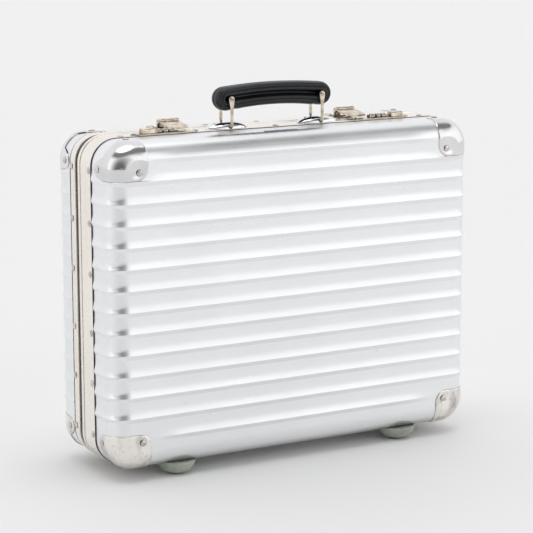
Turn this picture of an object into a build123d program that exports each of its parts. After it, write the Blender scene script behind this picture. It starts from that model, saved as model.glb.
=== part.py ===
from build123d import *
import math
import os

# Aluminium attache case, standing on its four feet, handle up.
# Millimetres. +X to the right, +Y from the deep front half to the lid, +Z up.
# Origin: on the floor, under the middle of the case.

# ---- the case ----
CASE_W = 435.0
CASE_H = 340.0
CASE_D = 136.0
FOOT_H = 12.5
CORNER_R = 28.0
EDGE_R = 20.0
SHEET_T = 1.0

Y_FRONT = -CASE_D / 2
Y_REAR = CASE_D / 2
Z_LOW = FOOT_H
Z_MID = FOOT_H + CASE_H / 2
Z_TOP = FOOT_H + CASE_H

# ---- frames: stations along Y ----
Y_FRONT_FRAME = -22.5
Y_BEAD = 4.0
Y_SPLIT = 8.5
Y_REAR_FRAME = 15.5
Y_REAR_FRAME_END = 27.0
FRAME_PROUD = 0.9
BEAD_PROUD = 1.4
FRAME_T = 2.4
SLOT_DEPTH = 5.0
FRAME_EDGE_R = 0.7
SEAL_GAP = 0.3
SEAL_DEPTH = 1.0
SEAL_T = 3.4
FRONT_BAND_END = 2.0
REAR_BEAD_END = 20.0
REAR_BAND_START = 20.5

# ---- pressed ribs ----
RIB_PITCH = 22.2
RIB_COUNT = 14
RIB_LOWEST = Z_MID - 136.0
RIB_HEIGHT = 1.35
RIB_HALF = 7.25
RIB_CREST_HALF = 0.3
RIB_END_GAP = 1.5
RIB_ROOT = 0.5
RIB_CLEAR_OUTSIDE = 0.6
RIB_CLEAR_INSIDE = 2.0
SHORT_RIB_REACH = 166.0

# ---- linings ----
LINING_T = 1.5
LINING_GAP = 0.3
LINING_RIM = 2.0

# ---- corner caps ----
CAP_T = 1.0
CAP_REACH_X = 42.0
CAP_REACH_Z = 39.0
CAP_CORNER_R = 13.0
CAP_DEPTH = 22.0
LOBE_R = 8.5
CAP_SPAN = 90.0
CAP_MARGIN = 6.0
LOBE_L = 20.0
LOBE_ROOT = 8.0
LOBE_RUN = 14.0
FACE_RIVET = (185.3, 139.8)
SIDE_RIVET = (28.0, 142.0)
TOP_RIVET = (187.0, 27.0)

# ---- rivets ----
RIVET_R = 3.3
RIVET_H = 1.3
SHANK_R = 1.6
FRAME_SHANK_L = 3.4
CAP_SHANK_L = 2.2
HOLE_L = 9.0
HOLE_LEAD = 3.0
FRAME_RIVET_Y = (-18.0, 23.8)
FRAME_RIVET_Z = (-138.0, -83.6, -30.8, 30.8, 83.6, 138.0)
FRONT_TOP_RIVET_X = (-182.0, 0.0, 182.0)
REAR_TOP_RIVET_X = (-182.0, -62.0, 0.0, 62.0, 182.0)
BOTTOM_RIVET_X = (-182.0, -62.0, 62.0, 182.0)

# ---- feet ----
FOOT_R = 20.0
FOOT_X = 137.0
FOOT_Y = 48.0
FOOT_FLAT_R = 6.0
FOOT_BOWL = (0.80, 0.36)
FOOT_SIDE = (-0.6, 1.6)

# ---- hinge along the bottom ----
HINGE_Y = 12.0
HINGE_Z = Z_LOW - 2.6
HINGE_R = 2.4
HINGE_PIN_R = 1.2
HINGE_X = (-125.0, 0.0, 125.0)
HINGE_L = 50.0
KNUCKLES = 5
KNUCKLE_GAP = 0.2
LEAF_T = 1.4
ARM_T = 1.0
LEAF_REACH = 15.0
ARM_REACH = 8.5
BEAD_CLEAR = 0.01
HINGE_RIVET_X = (-15.0, 15.0)
HINGE_RIVET_Y = 11.5
FLUSH_RIVET = (2.2, 0.5)
FLUSH_SHANK_R = 1.2
HINGE_SHANK_L = 4.8
FIT = 0.05

# ---- handle ----
BAIL_X = 55.0
HANDLE_Y = -10.5
BAIL_PIVOT_Z = Z_TOP + 3.2
GRIP_PIN_Z = Z_TOP + 32.0
BAIL_R = 1.6
LEG_Y = 12.3
EYE_R = 3.3
EYE_T = 2.6
EYE_LAP = 0.8
GRIP_T = 20.4
GRIP_H = 25.0
GRIP_ARCH = 3.6
GRIP_END = 2.5
GRIP_ROUND = 7.0
GRIP_PIN_R = 1.5
GRIP_PIN_HEAD_R = 2.2
GRIP_PIN_HEAD_T = 0.6
GRIP_PIN_REACH = LEG_Y + EYE_T / 2 + 0.3
OPEN_PIVOT_GAP = 0.3
DOME_X = BAIL_X
DOME_A = 24.5
DOME_B = 10.3
DOME_H = 7.2
DOME_POCKET = (20.0, 12.4, 4.8)
DOME_SCREW_X = 14.8
DOME_SCREW_R = 1.9
DOME_SCREW_L = 2.4
DOME_HOLE_R = 2.1

# ---- locks ----
PLATE_Z = Z_TOP + FRAME_PROUD
PLATE_T = 1.0
PLATE_X = (90.0, 170.0)
PLATE_Y = (-22.0, -8.0)
EAR_L = 8.0
EAR_ROUND = 2.0
PLATE_MID_Y = (PLATE_Y[0] + PLATE_Y[1]) / 2
PLATE_RIVET_X = (PLATE_X[0] + 4.5, PLATE_X[1] - 4.5)
PLATE_RIVET_SHANK_R = 1.2
PLATE_RIVET_HEAD = (1.9, 0.6)
DIAL_X = (122.8, 129.9, 137.0)
DIAL_Y = -14.8
DIAL_R = 2.9
DIAL_GAP = 0.3
DIAL_W = 4.6
DIAL_Z = Z_TOP + 3.1
DIAL_AXLE_R = 0.9
DIAL_SIDE_GAP = 0.5
DIAL_ROW = (DIAL_X[0] - DIAL_W / 2 - DIAL_SIDE_GAP, DIAL_X[-1] + DIAL_W / 2 + DIAL_SIDE_GAP)
DIAL_WELL_Y = (DIAL_Y - DIAL_R - DIAL_GAP, DIAL_Y + DIAL_R + DIAL_GAP)
DIAL_NOTCHES = 10
NOTCH_R = 0.45
NOTCH_OUT = 0.15
NOTCH_SHARE = 0.75
CHEEK_T = 1.2
CHEEK_H = 3.0
DIAL_WELL = 0.4
SLIDER_X = (143.7, 158.7)
SLIDER_Y = -17.6
SLIDER_TRAVEL = 2.5
SLIDER_ROUND = 2.2
SLIDER_H = 5.4
SLIDER_D = 8.0
SLIDER_GAP = 0.15
TONGUE_X = (5.5, 9.5)
TONGUE_Y = 1.4
TONGUE_GAP = 0.2
SLOT_X = (5.0, 10.0)
SLOT_Y = 1.6
GATE_GAP = 0.4
GATE_T = 1.0
GATE_H = 1.8
GATE_Y = 4.0
WELD = 0.5
HASP_X = (-110.0, 107.0)
HASP_HALF = 12.0
HASP_Y = 17.5
HASP_Z = Z_TOP + 9.0
HASP_BARREL_R = 2.7
HASP_PIN_R = 1.1
HASP_T = 1.2
HASP_FLAT_L = 4.0
HASP_BEND_Y = (-5.0, -9.0)
HASP_BEND_LEAN = 0.6
HASP_BEND_RISE = 2.2
HASP_TIP_Y = -21.0
HASP_TIP_GAP = 0.6
HASP_THIRD = 2 * HASP_HALF / 3
KNUCKLE_CLEAR = 0.4
KNUCKLE_SIDE_GAP = 0.1
NOSE_SPAN = (-7.5, 1.0)
NOSE_Y = (-30.0, -7.5)
MOUNT_Z = (PLATE_Z + 0.6, PLATE_Z + 1.6)
MOUNT_GAP = 0.2
RISER_GAP = 0.3
STUD_X = 19.0
STUD_R = 5.0
STUD_DY = 2.5
STUD_SINK = 0.5
STUD_H = 3.6
STUD_ROUND = 1.4

# ---- badge ----
BADGE_X = (-30.0, 8.5)
BADGE_Y = (-50.5, -46.5)
BADGE_T = 0.5

# ---- modelling ----
OVERCUT = 1.0
BASE_ALIGN = (Align.CENTER, Align.CENTER, Align.MIN)


def on_axis(origin, normal, x_dir=None):
    """A working plane at a point, facing along a normal."""
    if x_dir is None:
        x_dir = (1, 0, 0) if abs(normal[0]) < 0.5 else (0, 1, 0)
    return Plane(origin=origin, x_dir=x_dir, z_dir=normal)


def rod(start, normal, radius, length):
    """A round rod from a point along a direction."""
    return extrude(on_axis(start, normal) * Circle(radius), amount=length)


def block(x0, x1, y0, y1, z0, z1):
    """An upright box from its limits."""
    box = Box(x1 - x0, y1 - y0, z1 - z0)
    return Pos((x0 + x1) / 2, (y0 + y1) / 2, (z0 + z1) / 2) * box


def slab(offset, y0, y1):
    """The outline of the case, grown by an offset, as a block between two stations."""
    plane = Plane(origin=(0, y0, Z_MID), x_dir=(1, 0, 0), z_dir=(0, 1, 0))
    face = RectangleRounded(CASE_W + 2 * offset, CASE_H + 2 * offset, CORNER_R + offset)
    return extrude(plane * face, amount=y1 - y0)


def ring(outer, inner, y0, y1):
    """A band that follows the outline, between two offsets."""
    return slab(outer, y0, y1) - slab(inner, y0 - OVERCUT, y1 + OVERCUT)


def rounded_half(offset, y_end):
    """The front half's rounded body, grown by an offset and cut square at y_end."""
    body = slab(offset, Y_FRONT - offset, y_end)
    rim = body.faces().sort_by(Axis.Y)[0].edges()
    return fillet(rim, EDGE_R + offset)


def rib_profile(shift):
    """Section of one pressed rib across its length: (outward, up) from the sheet's face."""
    root = min(shift, 0) - RIB_ROOT
    crest = RIB_HEIGHT + shift
    return (
        (root, -RIB_HALF),
        (shift, -RIB_HALF),
        (crest, -RIB_CREST_HALF),
        (crest, RIB_CREST_HALF),
        (shift, RIB_HALF),
        (root, RIB_HALF),
    )


def wrapped_rib(shift, y_end):
    """One rib that runs up a side, round the front and back along the other side."""
    half = CASE_W / 2
    left = Line((-half, y_end, 0), (-half, Y_FRONT + EDGE_R, 0))
    turn_1 = RadiusArc((-half, Y_FRONT + EDGE_R, 0), (-half + EDGE_R, Y_FRONT, 0), -EDGE_R)
    front = Line((-half + EDGE_R, Y_FRONT, 0), (half - EDGE_R, Y_FRONT, 0))
    turn_2 = RadiusArc((half - EDGE_R, Y_FRONT, 0), (half, Y_FRONT + EDGE_R, 0), -EDGE_R)
    right = Line((half, Y_FRONT + EDGE_R, 0), (half, y_end, 0))
    path = Wire([*left.edges(), *turn_1.edges(), *front.edges(), *turn_2.edges(), *right.edges()])
    plane = Plane(origin=(-half, y_end, 0), x_dir=(-1, 0, 0), z_dir=(0, -1, 0))
    section = plane * make_face(Polyline(*rib_profile(shift), close=True))
    return sweep(section, path=path)


def short_rib(shift):
    """A rib on the front face only, between the corner caps."""
    points = [(Y_FRONT - out, up) for out, up in rib_profile(shift)]
    plane = Plane(origin=(-SHORT_RIB_REACH, 0, 0), x_dir=(0, 1, 0), z_dir=(1, 0, 0))
    section = plane * make_face(Polyline(*points, close=True))
    return extrude(section, amount=2 * SHORT_RIB_REACH)


def cap_region(grow):
    """The space that the top right front cap takes, seen from the front, side and top."""
    low_x = CASE_W / 2 - CAP_REACH_X - grow
    low_z = Z_TOP - CAP_REACH_Z - grow
    origin = (low_x + CAP_SPAN / 2, Y_FRONT - CAP_MARGIN, low_z + CAP_SPAN / 2)
    plane = Plane(origin=origin, x_dir=(1, 0, 0), z_dir=(0, 1, 0))
    face = RectangleRounded(CAP_SPAN, CAP_SPAN, CAP_CORNER_R)
    main = extrude(plane * face, amount=CAP_DEPTH + CAP_MARGIN + grow)
    lobe_r = LOBE_R + grow
    side_y = Y_FRONT + SIDE_RIVET[0]
    side_z = Z_MID + SIDE_RIVET[1]
    x_in = CASE_W / 2 - LOBE_ROOT
    side = rod((x_in, side_y, side_z), (1, 0, 0), lobe_r, LOBE_L)
    side += block(x_in, x_in + LOBE_L, side_y - LOBE_RUN, side_y, side_z - lobe_r, side_z + lobe_r)
    top_y = Y_FRONT + TOP_RIVET[1]
    z_in = Z_TOP - LOBE_ROOT
    top = rod((TOP_RIVET[0], top_y, z_in), (0, 0, 1), lobe_r, LOBE_L)
    lobe_x = (TOP_RIVET[0] - lobe_r, TOP_RIVET[0] + lobe_r)
    top += block(*lobe_x, top_y - LOBE_RUN, top_y, z_in, z_in + LOBE_L)
    return main + side + top


def to_corner(shape, x_sign, z_sign, rear):
    """Mirror a top right front piece to one of the eight corners."""
    if x_sign < 0:
        shape = mirror(shape, Plane.YZ)
    if z_sign < 0:
        shape = mirror(shape, Plane.XY.offset(Z_MID))
    if rear:
        shape = mirror(shape, Plane.XZ)
    return shape


def plain_rivet(shank_l):
    """A domed rivet at the origin, head up, its shank below."""
    ball = (RIVET_R ** 2 + RIVET_H ** 2) / (2 * RIVET_H)
    head = Cylinder(RIVET_R, RIVET_H, align=BASE_ALIGN) & (Pos(0, 0, RIVET_H - ball) * Sphere(ball))
    shank = Pos(0, 0, -shank_l) * Cylinder(SHANK_R, shank_l, align=BASE_ALIGN)
    return (head + shank).solid()


def shank_hole(point, normal):
    """The hole that a rivet's shank fills."""
    start = tuple(p + HOLE_LEAD * n for p, n in zip(point, normal))
    return rod(start, tuple(-c for c in normal), SHANK_R, HOLE_L)


def cap_rivet_places(x_sign, z_sign, rear):
    """The three rivets of one corner cap: face, side and top or bottom."""
    flip = -1 if rear else 1
    face_y = flip * (Y_FRONT - CAP_T)
    side_y = flip * (Y_FRONT + SIDE_RIVET[0])
    top_y = flip * (Y_FRONT + TOP_RIVET[1])
    edge_x = x_sign * (CASE_W / 2 + CAP_T)
    edge_z = Z_MID + z_sign * (CASE_H / 2 + CAP_T)
    return [
        ((x_sign * FACE_RIVET[0], face_y, Z_MID + z_sign * FACE_RIVET[1]), (0, -flip, 0)),
        ((edge_x, side_y, Z_MID + z_sign * SIDE_RIVET[1]), (x_sign, 0, 0)),
        ((x_sign * TOP_RIVET[0], top_y, edge_z), (0, 0, z_sign)),
    ]


def frame_rivet_places(y, top_xs):
    """The rivets along one frame: both sides, top and bottom."""
    edge_x = CASE_W / 2 + FRAME_PROUD
    edge_z = CASE_H / 2 + FRAME_PROUD
    places = []
    for sign in (-1, 1):
        places += [((sign * edge_x, y, Z_MID + z), (sign, 0, 0)) for z in FRAME_RIVET_Z]
    places += [((x, y, Z_MID + edge_z), (0, 0, 1)) for x in top_xs]
    places += [((x, y, Z_MID - edge_z), (0, 0, -1)) for x in BOTTOM_RIVET_X]
    return places


def rivets(places, shank_l):
    """A set of rivets as separate solids in one group."""
    pattern = plain_rivet(shank_l)
    return Compound(children=[on_axis(point, normal).location * pattern for point, normal in places])


def cut_holes(shape, places):
    """Cut the shank holes of a set of rivets."""
    return shape - [shank_hole(point, normal) for point, normal in places]


def front_body(y_end, places):
    """A ribbed, pressed shell for the front half, its rim ending inside the frame's slot."""
    outer = rounded_half(0, y_end + SLOT_DEPTH)
    inner = rounded_half(-SHEET_T, y_end + SLOT_DEPTH + OVERCUT)
    corners = [(x, z) for x in (-1, 1) for z in (-1, 1)]
    rib_end = y_end - RIB_END_GAP
    for shift, grow in ((0, RIB_CLEAR_OUTSIDE), (-SHEET_T, RIB_CLEAR_INSIDE)):
        long_rib = wrapped_rib(shift, rib_end)
        end_rib = short_rib(shift)
        heights = [RIB_LOWEST + k * RIB_PITCH for k in range(RIB_COUNT)]
        ribs = [Pos(0, 0, z) * long_rib for z in heights[1:-1]]
        clear = cap_region(grow)
        cutters = [to_corner(clear, x, z, False) for x, z in corners]
        ribs = [ribs[0] - cutters] + ribs[1:-1] + [ribs[-1] - cutters]
        ribs += [Pos(0, 0, z) * end_rib for z in (heights[0], heights[-1])]
        if shift == 0:
            outer = outer + ribs
        else:
            inner = inner + ribs
    return cut_holes(outer - inner, places)


def frame_ring(y0, y1, bead_y0, bead_y1, slot_y0, slot_y1, places):
    """An extruded frame: a proud band and a bead, with a slot that holds the shell's rim."""
    band = slab(FRAME_PROUD, y0, y1)
    band = fillet(band.faces().filter_by(Axis.Y).edges(), FRAME_EDGE_R)
    bead = slab(BEAD_PROUD, bead_y0, bead_y1)
    bead = fillet(bead.faces().filter_by(Axis.Y).edges(), FRAME_EDGE_R)
    low = min(y0, bead_y0)
    high = max(y1, bead_y1)
    frame = band + bead + slab(0, low, high)
    frame = frame - slab(-FRAME_T, low - OVERCUT, high + OVERCUT)
    frame = frame - ring(0, -SHEET_T, slot_y0, slot_y1)
    return cut_holes(frame, places)


def lining(y_end):
    """The inner tray of the front half."""
    gap = FRAME_T + LINING_GAP
    outer = slab(-gap, Y_FRONT + SHEET_T + LINING_GAP, y_end)
    outer = fillet(outer.faces().sort_by(Axis.Y)[0].edges(), EDGE_R - gap)
    wall = gap + LINING_T
    inner = slab(-wall, Y_FRONT + SHEET_T + LINING_GAP + LINING_T, y_end + OVERCUT)
    inner = fillet(inner.faces().sort_by(Axis.Y)[0].edges(), EDGE_R - wall)
    return outer - inner


def foot(x, y):
    """A rubber dome foot with a small flat underneath."""
    rim = FOOT_H + FOOT_SIDE[0]
    top = FOOT_H + FOOT_SIDE[1]
    bowl = (FOOT_R * FOOT_BOWL[0], FOOT_H * FOOT_BOWL[1])
    profile = [
        Line((0, 0), (FOOT_FLAT_R, 0)),
        ThreePointArc((FOOT_FLAT_R, 0), bowl, (FOOT_R, rim)),
        Line((FOOT_R, rim), (FOOT_R, top)),
        Line((FOOT_R, top), (0, top)),
        Line((0, top), (0, 0)),
    ]
    wire = Wire([edge for line in profile for edge in line.edges()])
    section = Plane.XZ * make_face(wire)
    solid = Pos(x, y, 0) * revolve(section, Axis.Z)
    front = solid - rounded_half(0, 0)
    return max(front.solids(), key=lambda piece: piece.volume)


def hinge_set():
    """Leaves and pins of the three butt hinges, knuckles shared in turn."""
    base_leaves = []
    lid_leaves = []
    pins = []
    step = HINGE_L / KNUCKLES
    leaf_top = Z_LOW - FRAME_PROUD
    for x in HINGE_X:
        x0 = x - HINGE_L / 2
        base = block(x0, x0 + HINGE_L, HINGE_Y - LEAF_REACH, Y_SPLIT, leaf_top - LEAF_T, leaf_top)
        base -= ring(BEAD_PROUD + BEAD_CLEAR, -OVERCUT, Y_BEAD - BEAD_CLEAR, Y_SPLIT + OVERCUT)
        lid = block(x0, x0 + HINGE_L, Y_REAR_FRAME, HINGE_Y + LEAF_REACH, leaf_top - LEAF_T, leaf_top)
        lid -= ring(BEAD_PROUD + BEAD_CLEAR, -OVERCUT, Y_REAR_FRAME - OVERCUT, REAR_BEAD_END + BEAD_CLEAR)
        for k in range(KNUCKLES):
            a = x0 + k * step + KNUCKLE_GAP / 2
            length = step - KNUCKLE_GAP
            knuckle = rod((a, HINGE_Y, HINGE_Z), (1, 0, 0), HINGE_R, length)
            if k % 2 == 0:
                arm = block(a, a + length, HINGE_Y - ARM_REACH, HINGE_Y, HINGE_Z, HINGE_Z + ARM_T)
                base = base + knuckle + arm
            else:
                arm = block(a, a + length, HINGE_Y, HINGE_Y + ARM_REACH, HINGE_Z, HINGE_Z + ARM_T)
                lid = lid + knuckle + arm
        bore_start = (x0 - OVERCUT, HINGE_Y, HINGE_Z)
        base -= rod(bore_start, (1, 0, 0), HINGE_PIN_R + FIT, HINGE_L + 2 * OVERCUT)
        lid -= rod(bore_start, (1, 0, 0), HINGE_PIN_R, HINGE_L + 2 * OVERCUT)
        base_leaves.append(cut_flush_holes(base, hinge_rivet_places(-1)).solid())
        lid_leaves.append(cut_flush_holes(lid, hinge_rivet_places(1)).solid())
        pins.append(rod((x0, HINGE_Y, HINGE_Z), (1, 0, 0), HINGE_PIN_R, HINGE_L).solid())
    return Compound(children=base_leaves), Compound(children=lid_leaves), Compound(children=pins)


def hinge_rivet_places(side):
    """Where the flush rivets hold the leaves of one half: side -1 is the base, +1 the lid."""
    z = Z_LOW - FRAME_PROUD - LEAF_T
    y = HINGE_Y + side * HINGE_RIVET_Y
    return [((x + dx, y, z), (0, 0, -1)) for x in HINGE_X for dx in HINGE_RIVET_X]


def flush_rivets(places, shank_l):
    """Small flat-headed rivets as one group."""
    radius, height = FLUSH_RIVET
    pattern = Cylinder(radius, height, align=BASE_ALIGN)
    pattern += Pos(0, 0, -shank_l) * Cylinder(FLUSH_SHANK_R, shank_l, align=BASE_ALIGN)
    pattern = pattern.solid()
    return Compound(children=[on_axis(point, normal).location * pattern for point, normal in places])


def cut_flush_holes(shape, places):
    """Cut the holes of the flush rivets' shanks."""
    drills = []
    for point, normal in places:
        start = tuple(p + n for p, n in zip(point, normal))
        drills.append(rod(start, tuple(-c for c in normal), FLUSH_SHANK_R, HOLE_L))
    return shape - drills


def handle_dome(side):
    """A hollow oval cover over a bail's crossbar, with a screw hole at each end."""
    x = side * DOME_X
    length, width, depth = DOME_POCKET
    ball = Pos(x, HANDLE_Y, PLATE_Z) * scale(Sphere(1), by=(DOME_A, DOME_B, DOME_H))
    y0, y1 = HANDLE_Y - width / 2, HANDLE_Y + width / 2
    half_x = DOME_A + OVERCUT
    half_y = DOME_B + OVERCUT
    above = block(x - half_x, x + half_x, HANDLE_Y - half_y, HANDLE_Y + half_y, PLATE_Z, PLATE_Z + 2 * DOME_H)
    pocket = block(x - length / 2, x + length / 2, y0, y1, PLATE_Z, PLATE_Z + depth)
    dome = (ball & above) - pocket
    pivot = (side * BAIL_X, HANDLE_Y - DOME_B - OVERCUT, BAIL_PIVOT_Z)
    dome = dome - rod(pivot, (0, 1, 0), BAIL_R + FIT, 2 * (DOME_B + OVERCUT))
    for end in (-1, 1):
        screw = (x + end * DOME_SCREW_X, HANDLE_Y, PLATE_Z)
        dome = dome - rod(screw, (0, 0, 1), DOME_HOLE_R, DOME_H)
    return dome


def dome_screws(side):
    """Round-headed screws down in the dome's end holes."""
    made = []
    for end in (-1, 1):
        place = (side * DOME_X + end * DOME_SCREW_X, HANDLE_Y, PLATE_Z)
        made.append(rod(place, (0, 0, 1), DOME_SCREW_R, DOME_SCREW_L).solid())
    return made


def bail(side):
    """A U of rod: crossbar under the dome, a leg each side of the grip, an eye on each leg."""
    x = side * BAIL_X
    gap = OPEN_PIVOT_GAP if side > 0 else FIT
    leg = GRIP_PIN_Z - BAIL_PIVOT_Z - EYE_R + EYE_LAP
    shape = rod((x, HANDLE_Y - LEG_Y, BAIL_PIVOT_Z), (0, 1, 0), BAIL_R, 2 * LEG_Y)
    for sign in (-1, 1):
        y = HANDLE_Y + sign * LEG_Y
        shape += Pos(x, y, BAIL_PIVOT_Z) * Sphere(BAIL_R)
        shape += rod((x, y, BAIL_PIVOT_Z), (0, 0, 1), BAIL_R, leg)
        eye_start = (x, y - EYE_T / 2, GRIP_PIN_Z)
        shape += rod(eye_start, (0, 1, 0), EYE_R, EYE_T)
    for sign in (-1, 1):
        y = HANDLE_Y + sign * LEG_Y
        shape -= rod((x, y - EYE_T, GRIP_PIN_Z), (0, 1, 0), GRIP_PIN_R + gap, 2 * EYE_T)
    return shape


def grip():
    """The arched grip, a slot shape in front view with rounded long edges."""
    radius = (BAIL_X ** 2 + GRIP_ARCH ** 2) / (2 * GRIP_ARCH)
    centre_z = GRIP_PIN_Z + GRIP_ARCH - radius
    half_turn = math.degrees(math.asin((BAIL_X + GRIP_END) / radius))
    plane = Plane(origin=(0, HANDLE_Y - GRIP_T / 2, centre_z), x_dir=(1, 0, 0), z_dir=(0, -1, 0))
    arc = CenterArc((0, 0), radius, 90 - half_turn, 2 * half_turn)
    face = plane * SlotArc(arc, GRIP_H)
    solid = extrude(face, amount=-GRIP_T)
    solid = fillet(solid.faces().filter_by(Axis.Y).edges(), GRIP_ROUND)
    for side in (-1, 1):
        start = (side * BAIL_X, HANDLE_Y - GRIP_T, GRIP_PIN_Z)
        solid -= rod(start, (0, 1, 0), GRIP_PIN_R, 2 * GRIP_T)
    return solid


def grip_pins():
    """Two pins through the grip, headed outside the bails' eyes."""
    made = []
    y0 = HANDLE_Y - GRIP_PIN_REACH
    y1 = HANDLE_Y + GRIP_PIN_REACH
    for side in (-1, 1):
        x = side * BAIL_X
        pin = rod((x, y0, GRIP_PIN_Z), (0, 1, 0), GRIP_PIN_R, y1 - y0)
        for y in (y0 - GRIP_PIN_HEAD_T, y1):
            pin += rod((x, y, GRIP_PIN_Z), (0, 1, 0), GRIP_PIN_HEAD_R, GRIP_PIN_HEAD_T)
        made.append(pin.solid())
    return Compound(children=made)


def lock_base(side, hasp_x):
    """The base plate with pointed ears, cheeks for the dials and a gate for the hasp's nose."""
    y0, y1 = PLATE_Y
    x0, x1 = PLATE_X
    outline = Polyline(
        (x0, PLATE_MID_Y),
        (x0 + EAR_L, y0),
        (x1 - EAR_L, y0),
        (x1, PLATE_MID_Y),
        (x1 - EAR_L, y1),
        (x0 + EAR_L, y1),
        close=True,
    )
    face = fillet(make_face(outline).vertices(), EAR_ROUND)
    plate = extrude(Pos(0, 0, PLATE_Z) * face, amount=PLATE_T)
    low = PLATE_Z - OVERCUT
    top = PLATE_Z + PLATE_T
    first, last = DIAL_ROW
    plate -= block(first, last, *DIAL_WELL_Y, low, top + OVERCUT)
    for a in (first - CHEEK_T, last):
        plate += block(a, a + CHEEK_T, *DIAL_WELL_Y, top - WELD, top + CHEEK_H)
    nose = sorted(side * (hasp_x + edge) for edge in NOSE_SPAN)
    gate_y = (PLATE_MID_Y - GATE_Y, PLATE_MID_Y + GATE_Y)
    for a in (nose[0] - GATE_GAP - GATE_T, nose[1] + GATE_GAP):
        plate += block(a, a + GATE_T, *gate_y, top - WELD, top + GATE_H)
    slot_x = (SLIDER_X[0] + SLOT_X[0], SLIDER_X[0] + SLOT_X[1] + SLIDER_TRAVEL)
    plate -= block(*slot_x, SLIDER_Y - SLOT_Y, SLIDER_Y + SLOT_Y, low, top + OVERCUT)
    axle = (first - CHEEK_T - OVERCUT, DIAL_Y, DIAL_Z)
    plate -= rod(axle, (1, 0, 0), DIAL_AXLE_R, last - first + 2 * (CHEEK_T + OVERCUT))
    for a in PLATE_RIVET_X:
        plate -= rod((a, PLATE_MID_Y, low), (0, 0, 1), PLATE_RIVET_SHANK_R, PLATE_T + 2 * OVERCUT)
    return plate if side > 0 else mirror(plate, Plane.YZ)


def lock_rivets():
    """The small rivets in the ears of both lock plates."""
    made = []
    head_r, head_h = PLATE_RIVET_HEAD
    for side in (-1, 1):
        for a in PLATE_RIVET_X:
            pin = rod((side * a, PLATE_MID_Y, PLATE_Z), (0, 0, 1), PLATE_RIVET_SHANK_R, PLATE_T)
            pin += rod((side * a, PLATE_MID_Y, PLATE_Z + PLATE_T), (0, 0, 1), head_r, head_h)
            made.append(pin.solid())
    return Compound(children=made)


def dial_well(side):
    """The shallow pocket in the frame that one lock's dials sink into."""
    shape = block(*DIAL_ROW, *DIAL_WELL_Y, Z_TOP - DIAL_WELL, PLATE_Z + OVERCUT)
    return shape if side > 0 else mirror(shape, Plane.YZ)


def dial_axle(side):
    """The rod that one lock's dials turn on."""
    first = DIAL_ROW[0] - CHEEK_T
    last = DIAL_ROW[1] + CHEEK_T
    shape = rod((first, DIAL_Y, DIAL_Z), (1, 0, 0), DIAL_AXLE_R, last - first)
    return shape if side > 0 else mirror(shape, Plane.YZ)


def dial(x):
    """A combination dial with a notch between each two numbers."""
    shape = rod((x - DIAL_W / 2, DIAL_Y, DIAL_Z), (1, 0, 0), DIAL_R, DIAL_W)
    step = math.tau / DIAL_NOTCHES
    reach = DIAL_R + NOTCH_OUT
    for k in range(DIAL_NOTCHES):
        angle = step * (k + 0.5)
        y = DIAL_Y + reach * math.cos(angle)
        z = DIAL_Z + reach * math.sin(angle)
        start = (x - DIAL_W / 2 - OVERCUT, y, z)
        shape -= rod(start, (1, 0, 0), NOTCH_R, DIAL_W * NOTCH_SHARE + OVERCUT)
    return shape - rod((x - DIAL_W, DIAL_Y, DIAL_Z), (1, 0, 0), DIAL_AXLE_R + FIT, 2 * DIAL_W)


def release_slider(side):
    """The thumb block beside the dials, with a tongue down into the plate's slot."""
    z = PLATE_Z + PLATE_T + SLIDER_GAP
    x0, x1 = SLIDER_X
    shape = block(x0, x1, SLIDER_Y - SLIDER_D / 2, SLIDER_Y + SLIDER_D / 2, z, z + SLIDER_H)
    shape = fillet(shape.edges().filter_by(Axis.X).sort_by(Axis.Z)[-2:], SLIDER_ROUND)
    tongue_x = (x0 + TONGUE_X[0], x0 + TONGUE_X[1])
    tongue_y = (SLIDER_Y - TONGUE_Y, SLIDER_Y + TONGUE_Y)
    shape += block(*tongue_x, *tongue_y, PLATE_Z + TONGUE_GAP, z + WELD)
    return shape if side > 0 else mirror(shape, Plane.YZ)


def hasp(x):
    """The flip-over hasp: middle knuckle, a plate that runs forward and down, and its nose."""
    z_tip = PLATE_Z + PLATE_T + HASP_TIP_GAP
    z_bend = z_tip + HASP_BEND_RISE
    flat_y = HASP_Y - HASP_FLAT_L
    bend_0, bend_1 = HASP_BEND_Y
    side_view = Polyline(
        (HASP_Y, HASP_Z - HASP_T),
        (flat_y, HASP_Z - HASP_T),
        (bend_0, z_bend),
        (bend_1, z_tip),
        (HASP_TIP_Y, z_tip),
        (HASP_TIP_Y, z_tip + HASP_T),
        (bend_1 - HASP_BEND_LEAN, z_tip + HASP_T),
        (bend_0 - HASP_BEND_LEAN, z_bend + HASP_T),
        (flat_y, HASP_Z),
        (HASP_Y, HASP_Z),
        close=True,
    )
    x0 = x - HASP_HALF
    x1 = x + HASP_HALF
    plane = Plane(origin=(x0, 0, 0), x_dir=(0, 1, 0), z_dir=(1, 0, 0))
    plate = extrude(plane * make_face(side_view), amount=x1 - x0)
    plate -= block(x0 - OVERCUT, x + NOSE_SPAN[0], *NOSE_Y, PLATE_Z, HASP_Z + OVERCUT)
    plate -= block(x + NOSE_SPAN[1], x1 + OVERCUT, *NOSE_Y, PLATE_Z, HASP_Z + OVERCUT)
    reach = HASP_BARREL_R + KNUCKLE_CLEAR
    half = HASP_THIRD / 2 - KNUCKLE_SIDE_GAP
    for a, b in ((x0 - OVERCUT, x - half), (x + half, x1 + OVERCUT)):
        plate -= rod((a, HASP_Y, HASP_Z), (1, 0, 0), reach, b - a)
    plate += rod((x - half, HASP_Y, HASP_Z), (1, 0, 0), HASP_BARREL_R, 2 * half)
    return plate - rod((x0, HASP_Y, HASP_Z), (1, 0, 0), HASP_PIN_R + FIT, x1 - x0)


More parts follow.
